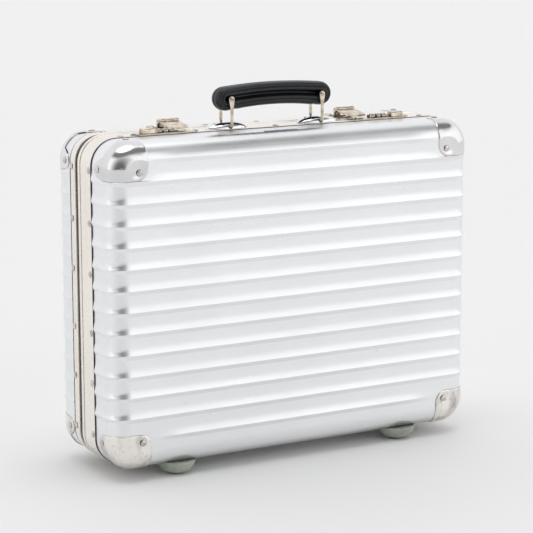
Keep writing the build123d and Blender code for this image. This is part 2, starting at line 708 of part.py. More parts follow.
def hasp_mount(x):
    """The hasp's hinge block on the lid frame: a foot plate, a riser and two outer knuckles."""
    x0 = x - HASP_HALF
    x1 = x + HASP_HALF
    shape = block(x0, x1, Y_REAR_FRAME + MOUNT_GAP, Y_REAR_FRAME_END, *MOUNT_Z)
    length = HASP_THIRD - KNUCKLE_SIDE_GAP
    riser_y = (HASP_Y + RISER_GAP, HASP_Y + HASP_BARREL_R)
    for a in (x0, x1 - length):
        shape += rod((a, HASP_Y, HASP_Z), (1, 0, 0), HASP_BARREL_R, length)
        shape += block(a, a + length, *riser_y, MOUNT_Z[0], HASP_Z)
    bore_start = (x0 - OVERCUT, HASP_Y, HASP_Z)
    return shape - rod(bore_start, (1, 0, 0), HASP_PIN_R, x1 - x0 + 2 * OVERCUT)


def hasp_stud(x):
    """A round-topped stud on the lid frame beside the hasp."""
    centre = (x - STUD_X, HASP_Y + STUD_DY, PLATE_Z + STUD_SINK)
    shape = rod(centre, (0, 0, 1), STUD_R, STUD_H)
    rim = shape.edges().filter_by(GeomType.CIRCLE).sort_by(Axis.Z)[-1]
    return fillet(rim, STUD_ROUND)


def write(name, shape):
    """Write one node."""
    export_step(shape, "parts/" + name + ".step")


os.makedirs("parts", exist_ok=True)

CORNERS = [("top_left", -1, 1), ("top_right", 1, 1), ("bottom_left", -1, -1), ("bottom_right", 1, -1)]
front_cap_places = [p for _, x, z in CORNERS for p in cap_rivet_places(x, z, False)]
rear_cap_places = [p for _, x, z in CORNERS for p in cap_rivet_places(x, z, True)]
front_frame_places = frame_rivet_places(FRAME_RIVET_Y[0], FRONT_TOP_RIVET_X)
rear_frame_places = frame_rivet_places(FRAME_RIVET_Y[1], REAR_TOP_RIVET_X)

# shells: the rear one is the front one's mirror image with a shorter side
front_holes = front_cap_places + front_frame_places
mirrored_rear = [((p[0], -p[1], p[2]), (n[0], -n[1], n[2])) for p, n in rear_cap_places + rear_frame_places]
write("front_shell", front_body(Y_FRONT_FRAME, front_holes))
rear_shell = mirror(front_body(-Y_REAR_FRAME_END, mirrored_rear), Plane.XZ)
write("rear_shell", cut_flush_holes(rear_shell, hinge_rivet_places(1)))

# frames, seal and linings
front_slot = (Y_FRONT_FRAME, Y_FRONT_FRAME + SLOT_DEPTH)
rear_slot = (Y_REAR_FRAME_END - SLOT_DEPTH, Y_REAR_FRAME_END)
front_frame = frame_ring(Y_FRONT_FRAME, FRONT_BAND_END, Y_BEAD, Y_SPLIT, *front_slot, front_frame_places)
front_frame -= [dial_well(side) for side in (-1, 1)]
write("front_frame", cut_flush_holes(front_frame, hinge_rivet_places(-1)))
rear_frame = frame_ring(
    REAR_BAND_START, Y_REAR_FRAME_END, Y_REAR_FRAME, REAR_BEAD_END, *rear_slot, rear_frame_places)
write("rear_frame", cut_flush_holes(rear_frame, hinge_rivet_places(1)))
write("lid_seal", ring(-SEAL_DEPTH, -SEAL_DEPTH - SEAL_T, Y_SPLIT + SEAL_GAP, Y_REAR_FRAME))
write("front_lining", lining(Y_SPLIT - LINING_RIM))
rear_tray = mirror(lining(-Y_REAR_FRAME - LINING_RIM), Plane.XZ)
write("rear_lining", rear_tray)

# corner caps and their rivets
layer = rounded_half(CAP_T, Y_FRONT_FRAME) - rounded_half(0, Y_FRONT_FRAME + OVERCUT)
corner_cap = layer & cap_region(0)
for name, x_sign, z_sign in CORNERS:
    for half, rear in (("front", False), ("rear", True)):
        placed = to_corner(corner_cap, x_sign, z_sign, rear)
        holes = cap_rivet_places(x_sign, z_sign, rear)
        write("cap_" + half + "_" + name, cut_holes(placed, holes))
write("front_cap_rivets", rivets(front_cap_places, CAP_SHANK_L))
write("rear_cap_rivets", rivets(rear_cap_places, CAP_SHANK_L))
write("front_frame_rivets", rivets(front_frame_places, FRAME_SHANK_L))
write("rear_frame_rivets", rivets(rear_frame_places, FRAME_SHANK_L))

# feet
for side_name, side in (("left", -1), ("right", 1)):
    front_foot = foot(side * FOOT_X, -FOOT_Y)
    write("foot_front_" + side_name, front_foot)
    write("foot_rear_" + side_name, mirror(front_foot, Plane.XZ))

# hinge
base_leaves, lid_leaves, hinge_pins = hinge_set()
write("base_hinge_leaves", base_leaves)
write("lid_hinge_leaves", lid_leaves)
write("hinge_pins", hinge_pins)
write("base_hinge_rivets", flush_rivets(hinge_rivet_places(-1), HINGE_SHANK_L))
write("lid_hinge_rivets", flush_rivets(hinge_rivet_places(1), HINGE_SHANK_L))

# handle
for side_name, side in (("left", -1), ("right", 1)):
    write("handle_dome_" + side_name, handle_dome(side))
    write("bail_" + side_name, bail(side))
write("dome_screws", Compound(children=dome_screws(-1) + dome_screws(1)))
write("handle_grip", grip())
write("handle_pins", grip_pins())

# locks
for side_name, side, hasp_x in (("left", -1, HASP_X[0]), ("right", 1, HASP_X[1])):
    write("lock_base_" + side_name, lock_base(side, hasp_x))
    write("dial_axle_" + side_name, dial_axle(side))
    write("release_slider_" + side_name, release_slider(side))
    for number, x in enumerate(DIAL_X, start=1):
        write("dial_" + side_name + "_" + str(number), dial(side * x))
    write("hasp_" + side_name, hasp(hasp_x))
    write("hasp_mount_" + side_name, hasp_mount(hasp_x))
    pin_start = (hasp_x - HASP_HALF, HASP_Y, HASP_Z)
    write("hasp_pin_" + side_name, rod(pin_start, (1, 0, 0), HASP_PIN_R, 2 * HASP_HALF))
    write("hasp_stud_" + side_name, hasp_stud(hasp_x))
write("lock_rivets", lock_rivets())

# plain badge on top of the front shell
write("badge_plate", block(*BADGE_X, *BADGE_Y, Z_TOP, Z_TOP + BADGE_T))
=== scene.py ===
"""An aluminium attache case: ribbed shells, riveted frames, corner caps, a grip and two locks."""
import math

import bmesh
import bpy
import numpy as np
from mathutils import Matrix, Vector


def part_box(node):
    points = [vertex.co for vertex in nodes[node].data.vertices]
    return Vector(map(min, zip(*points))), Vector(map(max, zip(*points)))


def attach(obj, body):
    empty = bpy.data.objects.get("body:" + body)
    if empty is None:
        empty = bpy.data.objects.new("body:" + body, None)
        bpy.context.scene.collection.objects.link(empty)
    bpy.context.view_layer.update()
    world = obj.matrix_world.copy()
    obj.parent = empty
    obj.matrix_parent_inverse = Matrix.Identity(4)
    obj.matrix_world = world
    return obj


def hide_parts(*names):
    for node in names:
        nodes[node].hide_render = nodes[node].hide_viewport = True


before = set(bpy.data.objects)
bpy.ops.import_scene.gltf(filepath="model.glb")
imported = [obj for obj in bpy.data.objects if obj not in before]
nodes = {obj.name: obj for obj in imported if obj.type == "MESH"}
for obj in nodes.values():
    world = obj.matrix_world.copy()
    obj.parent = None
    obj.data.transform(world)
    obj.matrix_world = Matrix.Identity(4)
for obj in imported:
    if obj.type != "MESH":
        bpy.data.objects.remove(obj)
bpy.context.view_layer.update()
MM = 0.001

# ---- the case, from the frame's own pieces ----
FRAME_PROUD = 0.9 * MM
BEAD_PROUD = 1.4 * MM
FRAME_T = 2.4 * MM
SHEET_T = 1.0 * MM
CAP_T = 1.0 * MM
CORNER_R = 28.0 * MM
EDGE_R = 20.0 * MM

frame_lo, frame_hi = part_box("front_frame")
rear_lo, rear_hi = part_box("rear_frame")
cap_lo, cap_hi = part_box("cap_front_top_left")
HALF_W = frame_hi.x - BEAD_PROUD
Z_TOP = frame_hi.z - BEAD_PROUD
Z_LOW = frame_lo.z + BEAD_PROUD
Z_MID = (Z_TOP + Z_LOW) / 2
HALF_H = (Z_TOP - Z_LOW) / 2
Y_FRONT = cap_lo.y + CAP_T
Y_FRAME = frame_lo.y
Y_SPLIT = frame_hi.y
Y_REAR_FRAME = rear_lo.y
Y_REAR_END = rear_hi.y

# ---- pressed ribs ----
RIB_PITCH = 22.2 * MM
RIB_COUNT = 14
RIB_LOWEST = -136.0 * MM
RIB_HEIGHT = 1.35 * MM
RIB_LOWER = 4.3 * MM
RIB_UPPER = 8.8 * MM
RIB_UPPER_POWER = 1.6
EDGE_PINCH = 0.58
END_RIB_FADE = (147 * MM, 166 * MM)

# ---- corner caps ----
CAP_REACH_X = 42.0 * MM
CAP_REACH_Z = 39.0 * MM
CAP_CORNER_R = 13.0 * MM
CAP_DEPTH = 22.0 * MM
CAP_UNDERSIDE = 0.04 * MM
LOBE_R = 8.5 * MM
CAP_SIDE_RIVET = (28.0 * MM, 142.0 * MM)
CAP_TOP_RIVET = (187.0 * MM, 27.0 * MM)
CAP_FACE_RIVET = (185.3 * MM, 0.0, 139.8 * MM)

# ---- the frames' section ----
GROOVE_LIFT = 0.1 * MM
BEAD_FULLNESS = 0.55
SLOT_DEPTH = 5 * MM
SLOT_BACK = -SHEET_T - 0.05 * MM
SLOT_MOUTH = 0.08 * MM

# ---- handle ----
EYE_HALF_T = 1.3 * MM
COUNTERSINK_Z = 2.3 * MM

# ---- mesh helpers ----
WELD = 1e-6
FLAT_ANGLE = math.radians(1)
HARD_ANGLE = math.radians(28)

TAU = 2 * math.pi
UP = Vector((0, 0, 1))


# ======================================================================
# mesh helpers
# ======================================================================

def piece(name, verts, faces, body, slot, material, replaced=(), sharp=35):
    """One finished piece: mesh, shading, material, body and the CAD nodes it stands for; its slot is not
    used.
    """
    mesh = bpy.data.meshes.new(name)
    mesh.from_pydata([tuple(map(float, v)) for v in verts], [], [tuple(map(int, f)) for f in faces])
    bm = bmesh.new()
    bm.from_mesh(mesh)
    bmesh.ops.remove_doubles(bm, verts=bm.verts, dist=WELD)
    bmesh.ops.recalc_face_normals(bm, faces=bm.faces)
    bm.to_mesh(mesh)
    bm.free()
    return finish_piece(name, mesh, body, material, replaced, sharp)


def finish_piece(name, mesh, body, material, replaced=(), sharp=35):
    """The object of a finished mesh, shaded, painted and riding on its body."""
    mesh.shade_smooth()
    mesh.set_sharp_from_angle(angle=math.radians(sharp))
    mesh.materials.clear()
    mesh.materials.append(material)
    obj = bpy.data.objects.new(name, mesh)
    bpy.context.scene.collection.objects.link(obj)
    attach(obj, body)
    if replaced:
        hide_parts(*replaced)
    return obj


def joined(parts):
    """Several (verts, faces) as one."""
    verts = []
    faces = []
    for part_verts, part_faces in parts:
        base = len(verts)
        verts.extend(part_verts)
        faces.extend(tuple(i + base for i in f) for f in part_faces)
    return verts, faces


def grid_faces(rows, cols, wrap_rows=False, wrap_cols=False):
    """Quads of a grid of points stored row by row."""
    faces = []
    for r in range(rows if wrap_rows else rows - 1):
        for c in range(cols if wrap_cols else cols - 1):
            a = r * cols + c
            b = r * cols + (c + 1) % cols
            d = ((r + 1) % rows) * cols + c
            e = ((r + 1) % rows) * cols + (c + 1) % cols
            faces.append((a, b, e, d))
    return faces


def two_sided(outer, inner, faces):
    """A sheet's two sides, joined round every open edge."""
    count = len(outer)
    edges = {(a, b) for f in faces for a, b in zip(f, f[1:] + f[:1])}
    rim = [(b, a, a + count, b + count) for a, b in edges if (b, a) not in edges]
    back = [tuple(i + count for i in reversed(f)) for f in faces]
    return np.vstack([outer, inner]), faces + back + sorted(rim)


def rounded(points, radius, steps=3, closed=True):
    """A polygon with its corners rounded by arcs."""
    result = []
    total = len(points)
    for i, point in enumerate(points):
        if not closed and i in (0, total - 1):
            result.append(tuple(point))
            continue
        here = Vector(point)
        before = Vector(points[i - 1]) - here
        after = Vector(points[(i + 1) % total]) - here
        reach = min(radius, 0.45 * before.length, 0.45 * after.length)
        start = here + before.normalized() * reach
        end = here + after.normalized() * reach
        for k in range(steps + 1):
            t = k / steps
            result.append(tuple((1 - t) ** 2 * start + 2 * t * (1 - t) * here + t * t * end))
    return result


def lathe(profile, steps=32):
    """A turned solid about +Z: profile is (radius, height), from the axis back to the axis."""
    verts = []
    for radius, height in profile:
        for k in range(steps):
            angle = TAU * k / steps
            verts.append((radius * math.cos(angle), radius * math.sin(angle), height))
    return verts, grid_faces(len(profile), steps, wrap_cols=True)


def moved(part, matrix):
    """A (verts, faces) part carried by a matrix."""
    verts, faces = part
    return [tuple(matrix @ Vector(v)) for v in verts], faces


def facing(origin, normal):
    """The matrix that stands +Z on a point, along a direction."""
    turn = Vector(normal).to_track_quat("Z", "Y").to_matrix().to_4x4()
    return Matrix.Translation(origin) @ turn


def smoothstep(value, low, high):
    t = np.clip((np.asarray(value, float) - low) / (high - low), 0, 1)
    return t * t * (3 - 2 * t)


def islands(node):
    """The boxes of the separate solids in a CAD node, from its mesh."""
    bm = bmesh.new()
    bm.from_mesh(nodes[node].data)
    bmesh.ops.remove_doubles(bm, verts=bm.verts, dist=WELD)
    bm.verts.ensure_lookup_table()
    seen = set()
    boxes = []
    for start in bm.verts:
        if start.index in seen:
            continue
        stack = [start]
        seen.add(start.index)
        group = []
        while stack:
            vert = stack.pop()
            group.append(vert.co.copy())
            for edge in vert.link_edges:
                other = edge.other_vert(vert)
                if other.index not in seen:
                    seen.add(other.index)
                    stack.append(other)
        low = Vector(tuple(min(p[i] for p in group) for i in range(3)))
        high = Vector(tuple(max(p[i] for p in group) for i in range(3)))
        boxes.append((low, high))
    bm.free()
    return boxes


def refined(node, body, material, width, segments=2):
    """A CAD piece with every hard edge rolled over, as a formed metal part has."""
    name = node + "_formed"
    bm = bmesh.new()
    bm.from_mesh(nodes[node].data)
    for layer in list(bm.loops.layers.uv):
        bm.loops.layers.uv.remove(layer)
    bmesh.ops.remove_doubles(bm, verts=bm.verts, dist=WELD)
    bmesh.ops.dissolve_limit(bm, angle_limit=FLAT_ANGLE, verts=bm.verts, edges=bm.edges)
    hard = [e for e in bm.edges if len(e.link_faces) == 2 and e.calc_face_angle(0) > HARD_ANGLE]
    bmesh.ops.bevel(bm, geom=hard, offset=width, segments=segments, profile=0.6,
                    affect="EDGES", clamp_overlap=True)
    bmesh.ops.recalc_face_normals(bm, faces=bm.faces)
    mesh = bpy.data.meshes.new(name)
    bm.to_mesh(mesh)
    bm.free()
    if "custom_normal" in mesh.attributes:
        mesh.attributes.remove(mesh.attributes["custom_normal"])
    return finish_piece(name, mesh, body, material, [node], sharp=40)


# ======================================================================
# materials
# ======================================================================

class Paint:
    """A node material with short calls for what most of these finishes share."""

    def __init__(self, name):
        self.material = bpy.data.materials.new(name)
        self.material.use_nodes = True
        self.tree = self.material.node_tree
        self.shader = self.tree.nodes["Principled BSDF"]
        self.coords = self.tree.nodes.new("ShaderNodeTexCoord").outputs["Object"]

    def node(self, kind, **values):
        made = self.tree.nodes.new(kind)
        for key, value in values.items():
            if hasattr(made, key):
                setattr(made, key, value)
            else:
                made.inputs[key.replace("_", " ")].default_value = value
        return made

    def link(self, source, target):
        self.tree.links.new(source, target)

    def noise(self, scale, detail=3.0, stretch=(1, 1, 1), turn=(0, 0, 0)):
        """Noise in the object's own metres; stretch above 1 makes it finer along that axis."""
        mapping = self.node("ShaderNodeMapping")
        mapping.inputs["Scale"].default_value = stretch
        mapping.inputs["Rotation"].default_value = turn
        texture = self.node("ShaderNodeTexNoise", Scale=scale, Detail=detail)
        self.link(self.coords, mapping.inputs["Vector"])
        self.link(mapping.outputs["Vector"], texture.inputs["Vector"])
        return texture.outputs["Fac"]

    def cells(self, scale, feature="DISTANCE_TO_EDGE"):
        texture = self.node("ShaderNodeTexVoronoi", feature=feature, Scale=scale)
        self.link(self.coords, texture.inputs["Vector"])
        return texture.outputs["Distance"]

    def spread(self, source, low, high, to_low=0.0, to_high=1.0):
        """A value carried from one range to another, clamped."""
        ranged = self.node("ShaderNodeMapRange")
        self.link(source, ranged.inputs["Value"])
        ranged.inputs["From Min"].default_value = low
        ranged.inputs["From Max"].default_value = high
        ranged.inputs["To Min"].default_value = to_low
        ranged.inputs["To Max"].default_value = to_high
        return ranged.outputs["Result"]

    def maths(self, operation, first, second):
        made = self.node("ShaderNodeMath", operation=operation)
        for socket, value in zip(made.inputs, (first, second)):
            if isinstance(value, (int, float)):
                socket.default_value = value
            else:
                self.link(value, socket)
        return made.outputs["Value"]

    def blend(self, factor, first, second):
        """Two colours mixed by a factor."""
        mixed = self.node("ShaderNodeMix", data_type="RGBA")
        self.link(factor, mixed.inputs["Factor"])
        for socket, value in ((mixed.inputs[6], first), (mixed.inputs[7], second)):
            if isinstance(value, tuple):
                socket.default_value = (*value, 1)
            else:
                self.link(value, socket)
        return mixed.outputs[2]

    def colour(self, source):
        self.link(source, self.shader.inputs["Base Color"])

    def roughness(self, source):
        self.link(source, self.shader.inputs["Roughness"])

    def bump(self, height, distance, strength=1.0):
        made = self.node("ShaderNodeBump", Strength=strength, Distance=distance)
        self.link(height, made.inputs["Height"])
        self.link(made.outputs["Normal"], self.shader.inputs["Normal"])

    def shade_corners(self, source, dirt_and_shade, reach=1.4, low=0.42, high=0.86):
        """A colour darkened towards a dark tone in narrow corners and gaps by ambient occlusion: painted
        shade. Reach is in millimetres.
        """
        corner = self.node("ShaderNodeAmbientOcclusion", samples=6, Distance=reach * MM)
        return self.blend(self.spread(corner.outputs["AO"], low, high), dirt_and_shade, source)

    def scratches(self, scale, amount):
        """Fine scratches in two directions, 0 to 1."""
        one = self.spread(self.noise(scale, 2.0, (1, 1, 14), (0.4, 0.2, 0.9)), 0.66, 0.72)
        two = self.spread(self.noise(scale * 0.8, 2.0, (16, 1, 1), (0.1, 1.1, 0.5)), 0.67, 0.73)
        return self.maths("MULTIPLY", self.maths("MAXIMUM", one, two), amount)


def metal(name, light, dark, rough, scuff=0.06, scratch=0.06, patch=18.0, shade_reach=1.4):
    """A worn metal: patchy tint, uneven polish, fine scratches, a faint grain and painted shade in its
    corners. Patch is the noise scale of its tint; the corner reach sets how far that painted shade
    spreads, in millimetres."""
    paint = Paint(name)
    paint.shader.inputs["Metallic"].default_value = 1.0
    tint = paint.spread(paint.noise(patch, 4.0), 0.35, 0.68)
    # Painted shade: ambient occlusion darkens the colour towards a dark tone in corners and gaps.
    paint.colour(paint.shade_corners(paint.blend(tint, dark, light), (0.05, 0.042, 0.036), shade_reach))
    uneven = paint.spread(paint.noise(patch * 3, 5.0), 0.3, 0.75, rough - scuff / 2, rough + scuff)
    lines = paint.scratches(140.0, scratch)
    paint.roughness(paint.maths("ADD", uneven, lines))
    height = paint.maths("ADD", paint.noise(900.0, 2.0), paint.maths("MULTIPLY", lines, -4.0))
    paint.bump(height, 0.02 * MM)
    return paint.material


def shell_material():
    """Satin anodised sheet: a fine crosswise grain, cloudy polish, small marks on it."""
    paint = Paint("satin_aluminium")
    paint.shader.inputs["Metallic"].default_value = 1.0
    cloud = paint.spread(paint.noise(9.0, 4.0), 0.3, 0.7)
    tint = paint.blend(cloud, (0.83, 0.845, 0.86), (0.875, 0.885, 0.895))
    speck = paint.spread(paint.noise(210.0, 1.0), 0.79, 0.82)
    marked = paint.blend(paint.maths("MULTIPLY", speck, 0.25), tint, (0.45, 0.40, 0.36))
    # Painted shade: ambient occlusion darkens the sheet by the caps, frames and other close parts.
    paint.colour(paint.shade_corners(marked, (0.10, 0.09, 0.085), 1.3, 0.45, 0.74))
    grain = paint.noise(520.0, 3.0, (0.05, 0.3, 3.0))
    smear = paint.spread(paint.noise(24.0, 4.0, (0.5, 1.0, 2.0)), 0.3, 0.75, 0.27, 0.36)
    lines = paint.scratches(90.0, 0.03)
    paint.roughness(paint.maths("ADD", smear, lines))
    paint.bump(paint.maths("ADD", grain, paint.maths("MULTIPLY", lines, -4.0)), 0.006 * MM)
    return paint.material


def frame_material():
    """Rolled frame metal with faint streaks along its run and handling marks."""
    paint = Paint("warm_frame_metal")
    paint.shader.inputs["Metallic"].default_value = 1.0
    normal = paint.node("ShaderNodeTexCoord").outputs["Normal"]
    parts = paint.node("ShaderNodeSeparateXYZ")
    paint.link(normal, parts.inputs["Vector"])
    level = paint.maths("ABSOLUTE", parts.outputs["Z"], 0.0)
    upright = paint.noise(300.0, 3.0, (1.0, 1.6, 0.02))
    lying = paint.noise(300.0, 3.0, (0.02, 1.6, 1.0))
    mix = paint.node("ShaderNodeMix", data_type="FLOAT")
    for socket, source in zip((0, 2, 3), (level, upright, lying)):
        paint.link(source, mix.inputs[socket])
    streak = mix.outputs[0]
    patch = paint.spread(paint.noise(14.0, 4.0), 0.35, 0.7)
    tint = paint.blend(patch, (0.885, 0.835, 0.775), (0.935, 0.89, 0.835))
    dull = paint.spread(streak, 0.56, 0.76, 0.0, 0.30)
    streaked = paint.blend(dull, tint, (0.60, 0.555, 0.50))
    # Painted shade: ambient occlusion darkens the frame in its groove and by close parts.
    paint.colour(paint.shade_corners(streaked, (0.12, 0.10, 0.085), 1.6))
    lines = paint.scratches(110.0, 0.04)
    wear = paint.spread(paint.noise(24.0, 3.0), 0.3, 0.75, 0.23, 0.31)
    paint.roughness(paint.maths("ADD", wear, lines))
    paint.bump(paint.maths("ADD", streak, paint.maths("MULTIPLY", lines, -3.0)), 0.006 * MM)
    return paint.material


def worn_cap_material():
    """Nickel that has been dragged over floors: grey smears, dull patches, dark specks."""
    paint = Paint("scuffed_nickel")
    paint.shader.inputs["Metallic"].default_value = 1.0
    smear = paint.spread(paint.noise(60.0, 6.0, (1.0, 1.0, 0.35)), 0.48, 0.72)
    tint = paint.blend(smear, (0.88, 0.85, 0.81), (0.52, 0.49, 0.46))
    dirt_and_shade = paint.spread(paint.noise(260.0, 4.0), 0.60, 0.70)
    soiled = paint.blend(paint.maths("MULTIPLY", dirt_and_shade, 0.6), tint, (0.24, 0.21, 0.19))
    # Painted shade: ambient occlusion darkens the cap in its corners and by its lip; the dark specks
    # above are dirt.
    paint.colour(paint.shade_corners(soiled, (0.08, 0.07, 0.06), 1.8))
    lines = paint.scratches(120.0, 0.12)
    paint.roughness(paint.maths("ADD", paint.spread(smear, 0.0, 1.0, 0.12, 0.32), lines))
    paint.bump(paint.maths("ADD", smear, paint.maths("MULTIPLY", lines, -3.0)), 0.03 * MM)
    return paint.material


def leather_material():
    """Black grained leather, polished a little where a hand holds it."""
    paint = Paint("black_leather")
    pores = paint.cells(900.0)
    creases = paint.noise(260.0, 5.0)
    polish = paint.spread(paint.noise(30.0, 3.0), 0.35, 0.7)
    paint.colour(paint.blend(polish, (0.006, 0.007, 0.009), (0.013, 0.015, 0.019)))
    paint.roughness(paint.spread(polish, 0.0, 1.0, 0.36, 0.24))
    pore_height = paint.spread(pores, 0.0, 0.18)
    paint.bump(paint.maths("ADD", pore_height, paint.maths("MULTIPLY", creases, 0.8)), 0.022 * MM)
    paint.shader.inputs["Specular IOR Level"].default_value = 0.42
    return paint.material


def rubber_material(name, light, dark, rough, soft=0.0):
    """Moulded rubber or plastic: slightly cloudy, faintly pitted, dusty in patches."""
    paint = Paint(name)
    cloud = paint.spread(paint.noise(55.0, 4.0), 0.3, 0.7)
    paint.colour(paint.blend(cloud, dark, light))
    paint.roughness(paint.spread(paint.noise(120.0, 4.0), 0.3, 0.75, rough - 0.06, rough + 0.12))
    paint.bump(paint.noise(1400.0, 2.0), 0.02 * MM)
    if soft:
        paint.shader.inputs["Subsurface Weight"].default_value = soft
        paint.shader.inputs["Subsurface Radius"].default_value = (0.8, 0.9, 0.7)
        paint.shader.inputs["Subsurface Scale"].default_value = 6 * MM
    return paint.material


def cloth_material():
    """Charcoal lining cloth with a plain weave."""
    paint = Paint("woven_lining")
    over = paint.node("ShaderNodeTexWave", Scale=420.0, Distortion=0.4)
    across = paint.node("ShaderNodeTexWave", Scale=420.0, Distortion=0.4, bands_direction="Z")
    for wave in (over, across):
        paint.link(paint.coords, wave.inputs["Vector"])
    weave = paint.maths("MULTIPLY", over.outputs["Fac"], across.outputs["Fac"])
    worn = paint.spread(paint.noise(20.0, 4.0), 0.3, 0.7)
    tint = paint.blend(worn, (0.030, 0.032, 0.038), (0.048, 0.050, 0.056))
    paint.colour(paint.blend(weave, tint, (0.075, 0.078, 0.086)))
    paint.roughness(paint.spread(weave, 0.0, 1.0, 0.92, 0.78))
    paint.bump(weave, 0.15 * MM)
    paint.shader.inputs["Sheen Weight"].default_value = 0.25
    return paint.material


ALUMINIUM = shell_material()
FRAME_METAL = frame_material()
CHROME = metal("polished_chrome", (0.84, 0.84, 0.855), (0.70, 0.69, 0.69), 0.07,
               scuff=0.05, scratch=0.10)
WORN_CAP = worn_cap_material()
RIVET_METAL = metal("rivet_steel", (0.78, 0.74, 0.70), (0.46, 0.42, 0.39), 0.12,
                    scuff=0.10, patch=160.0, shade_reach=1.2)
NICKEL = metal("warm_nickel", (0.84, 0.75, 0.62), (0.50, 0.42, 0.33), 0.13,
               scuff=0.12, patch=130.0, shade_reach=3.0)
DOME_CHROME = metal("dome_chrome", (0.88, 0.88, 0.90), (0.80, 0.80, 0.82), 0.06,
                    scuff=0.05, scratch=0.05)
DIAL_METAL = metal("dial_nickel", (0.66, 0.61, 0.54), (0.36, 0.32, 0.28), 0.20,
                   scuff=0.12, patch=160.0, shade_reach=2.0)
HINGE_STEEL = metal("hinge_steel", (0.66, 0.65, 0.64), (0.46, 0.44, 0.43), 0.32, scuff=0.12)
BADGE_METAL = metal("badge_metal", (0.60, 0.64, 0.74), (0.44, 0.48, 0.60), 0.22,
                    scuff=0.08, patch=60.0)
LEATHER = leather_material()
FOOT_RUBBER = rubber_material("clear_grey_rubber", (0.42, 0.45, 0.39), (0.31, 0.34, 0.285), 0.22,
                              soft=0.5)
SEAL_RUBBER = rubber_material("grey_seal", (0.215, 0.215, 0.21), (0.14, 0.14, 0.138), 0.55)
# Painted shadow: black rubber for the strips that stand in for the shadowed gap between frames and
# shells.
GAP_SHADOW_BLACK = rubber_material("black_gap_shadow", (0.012, 0.012, 0.013), (0.006, 0.006, 0.007), 0.60)
LINING_CLOTH = cloth_material()


# ======================================================================
# the shells
# ======================================================================

def onto_case(points, lift):
    """Points on the sharp box of one half, carried to its rounded skin. A point is
    (across, depth from the face, height from the middle); lift is the height above the sheet."""
    points = np.asarray(points, float)
    inner = np.array([HALF_W - CORNER_R, HALF_H - CORNER_R])
    flat = points[:, [0, 2]]
    corner = np.clip(flat, -inner, inner)
    out = flat - corner
    length = np.linalg.norm(out, axis=1, keepdims=True)
    core = corner + out * np.minimum(1, (CORNER_R - EDGE_R) / np.maximum(length, 1e-9))
    foot = np.stack([core[:, 0], np.maximum(points[:, 1], EDGE_R), core[:, 1]], 1)
    normal = points - foot
    normal /= np.linalg.norm(normal, axis=1, keepdims=True)
    return foot + normal * (EDGE_R + np.broadcast_to(lift, len(points)))[:, None]


def to_frame(points, rear):
    """Half coordinates to the row frame: the rear half is the mirror image of the front one."""
    points = np.asarray(points, float)
    y = Y_FRONT + points[:, 1]
    return np.stack([points[:, 0], -y if rear else y, points[:, 2] + Z_MID], 1)


def rib_height(points, rim):
    """Height of the pressed ribs over a half's sharp box: soft upper flank, crisp foot below."""
    across, depth, height = np.abs(points[:, 0]), points[:, 1], points[:, 2]
    total = np.zeros(len(points))
    turn = np.clip((across - HALF_W + EDGE_R) / EDGE_R, 0, 1) * np.clip(1 - depth / EDGE_R, 0, 1)
    pinch = 1 - EDGE_PINCH * smoothstep(turn, 0.0, 1.0)
    covered = smoothstep(across, HALF_W - CAP_REACH_X - 3 * MM, HALF_W - CAP_REACH_X)
    covered *= 1 - smoothstep(depth, 34 * MM, 38 * MM)
    for k in range(RIB_COUNT):
        up = height - (RIB_LOWEST + k * RIB_PITCH)
        lower = np.clip(1 + up / (RIB_LOWER * pinch), 0, 1)
        upper = np.clip(1 - up / (RIB_UPPER * pinch), 0, 1) ** RIB_UPPER_POWER
        shape = np.where(up < 0, lower, upper)
        if k in (0, RIB_COUNT - 1):
            shape = shape * (1 - smoothstep(across, *END_RIB_FADE)) * (depth < EDGE_R)
        if k == RIB_COUNT - 2:
            edge = HALF_H - CAP_REACH_Z
            shape = shape * (1 - covered * smoothstep(height, edge - 0.4 * MM, edge + 0.8 * MM))
        total = np.maximum(total, shape)
    end = 1 - smoothstep(depth, rim - 1.6 * MM, rim - 0.9 * MM)
    walls = np.maximum(end, 0) * (np.abs(height) < HALF_H - 1e-6)
    return RIB_HEIGHT * total * walls


def stations(*stops):
    """Numbers from stop to stop: each is (value, steps to reach it), the first a bare value."""
    values = [stops[0]]
    for value, steps in stops[1:]:
        values.extend(np.linspace(values[-1], value, steps + 1)[1:])
    return np.array(values)


def rib_stations():
    """Heights that follow the ribs' section, close at its crest and foot."""
    below = [-6.4, -4.8, -4.3, -3.8, -3.1, -2.3, -1.7, -1.0, -0.35]
    section = below + [0.0, 0.35, 1.1, 2.1, 3.2, 4.4, 5.8, 7.4, 9.2, 12.4]
    heights = []
    for k in range(RIB_COUNT):
        heights += [RIB_LOWEST + k * RIB_PITCH + step * MM for step in section]
    low = [-HALF_H] + [step * MM for step in (-166.5, -163, -159.5, -156, -152.5, -149, -145.5)]
    high = [h for h in heights if h < HALF_H - 1.5 * MM]
    return np.array(low + high + [HALF_H])


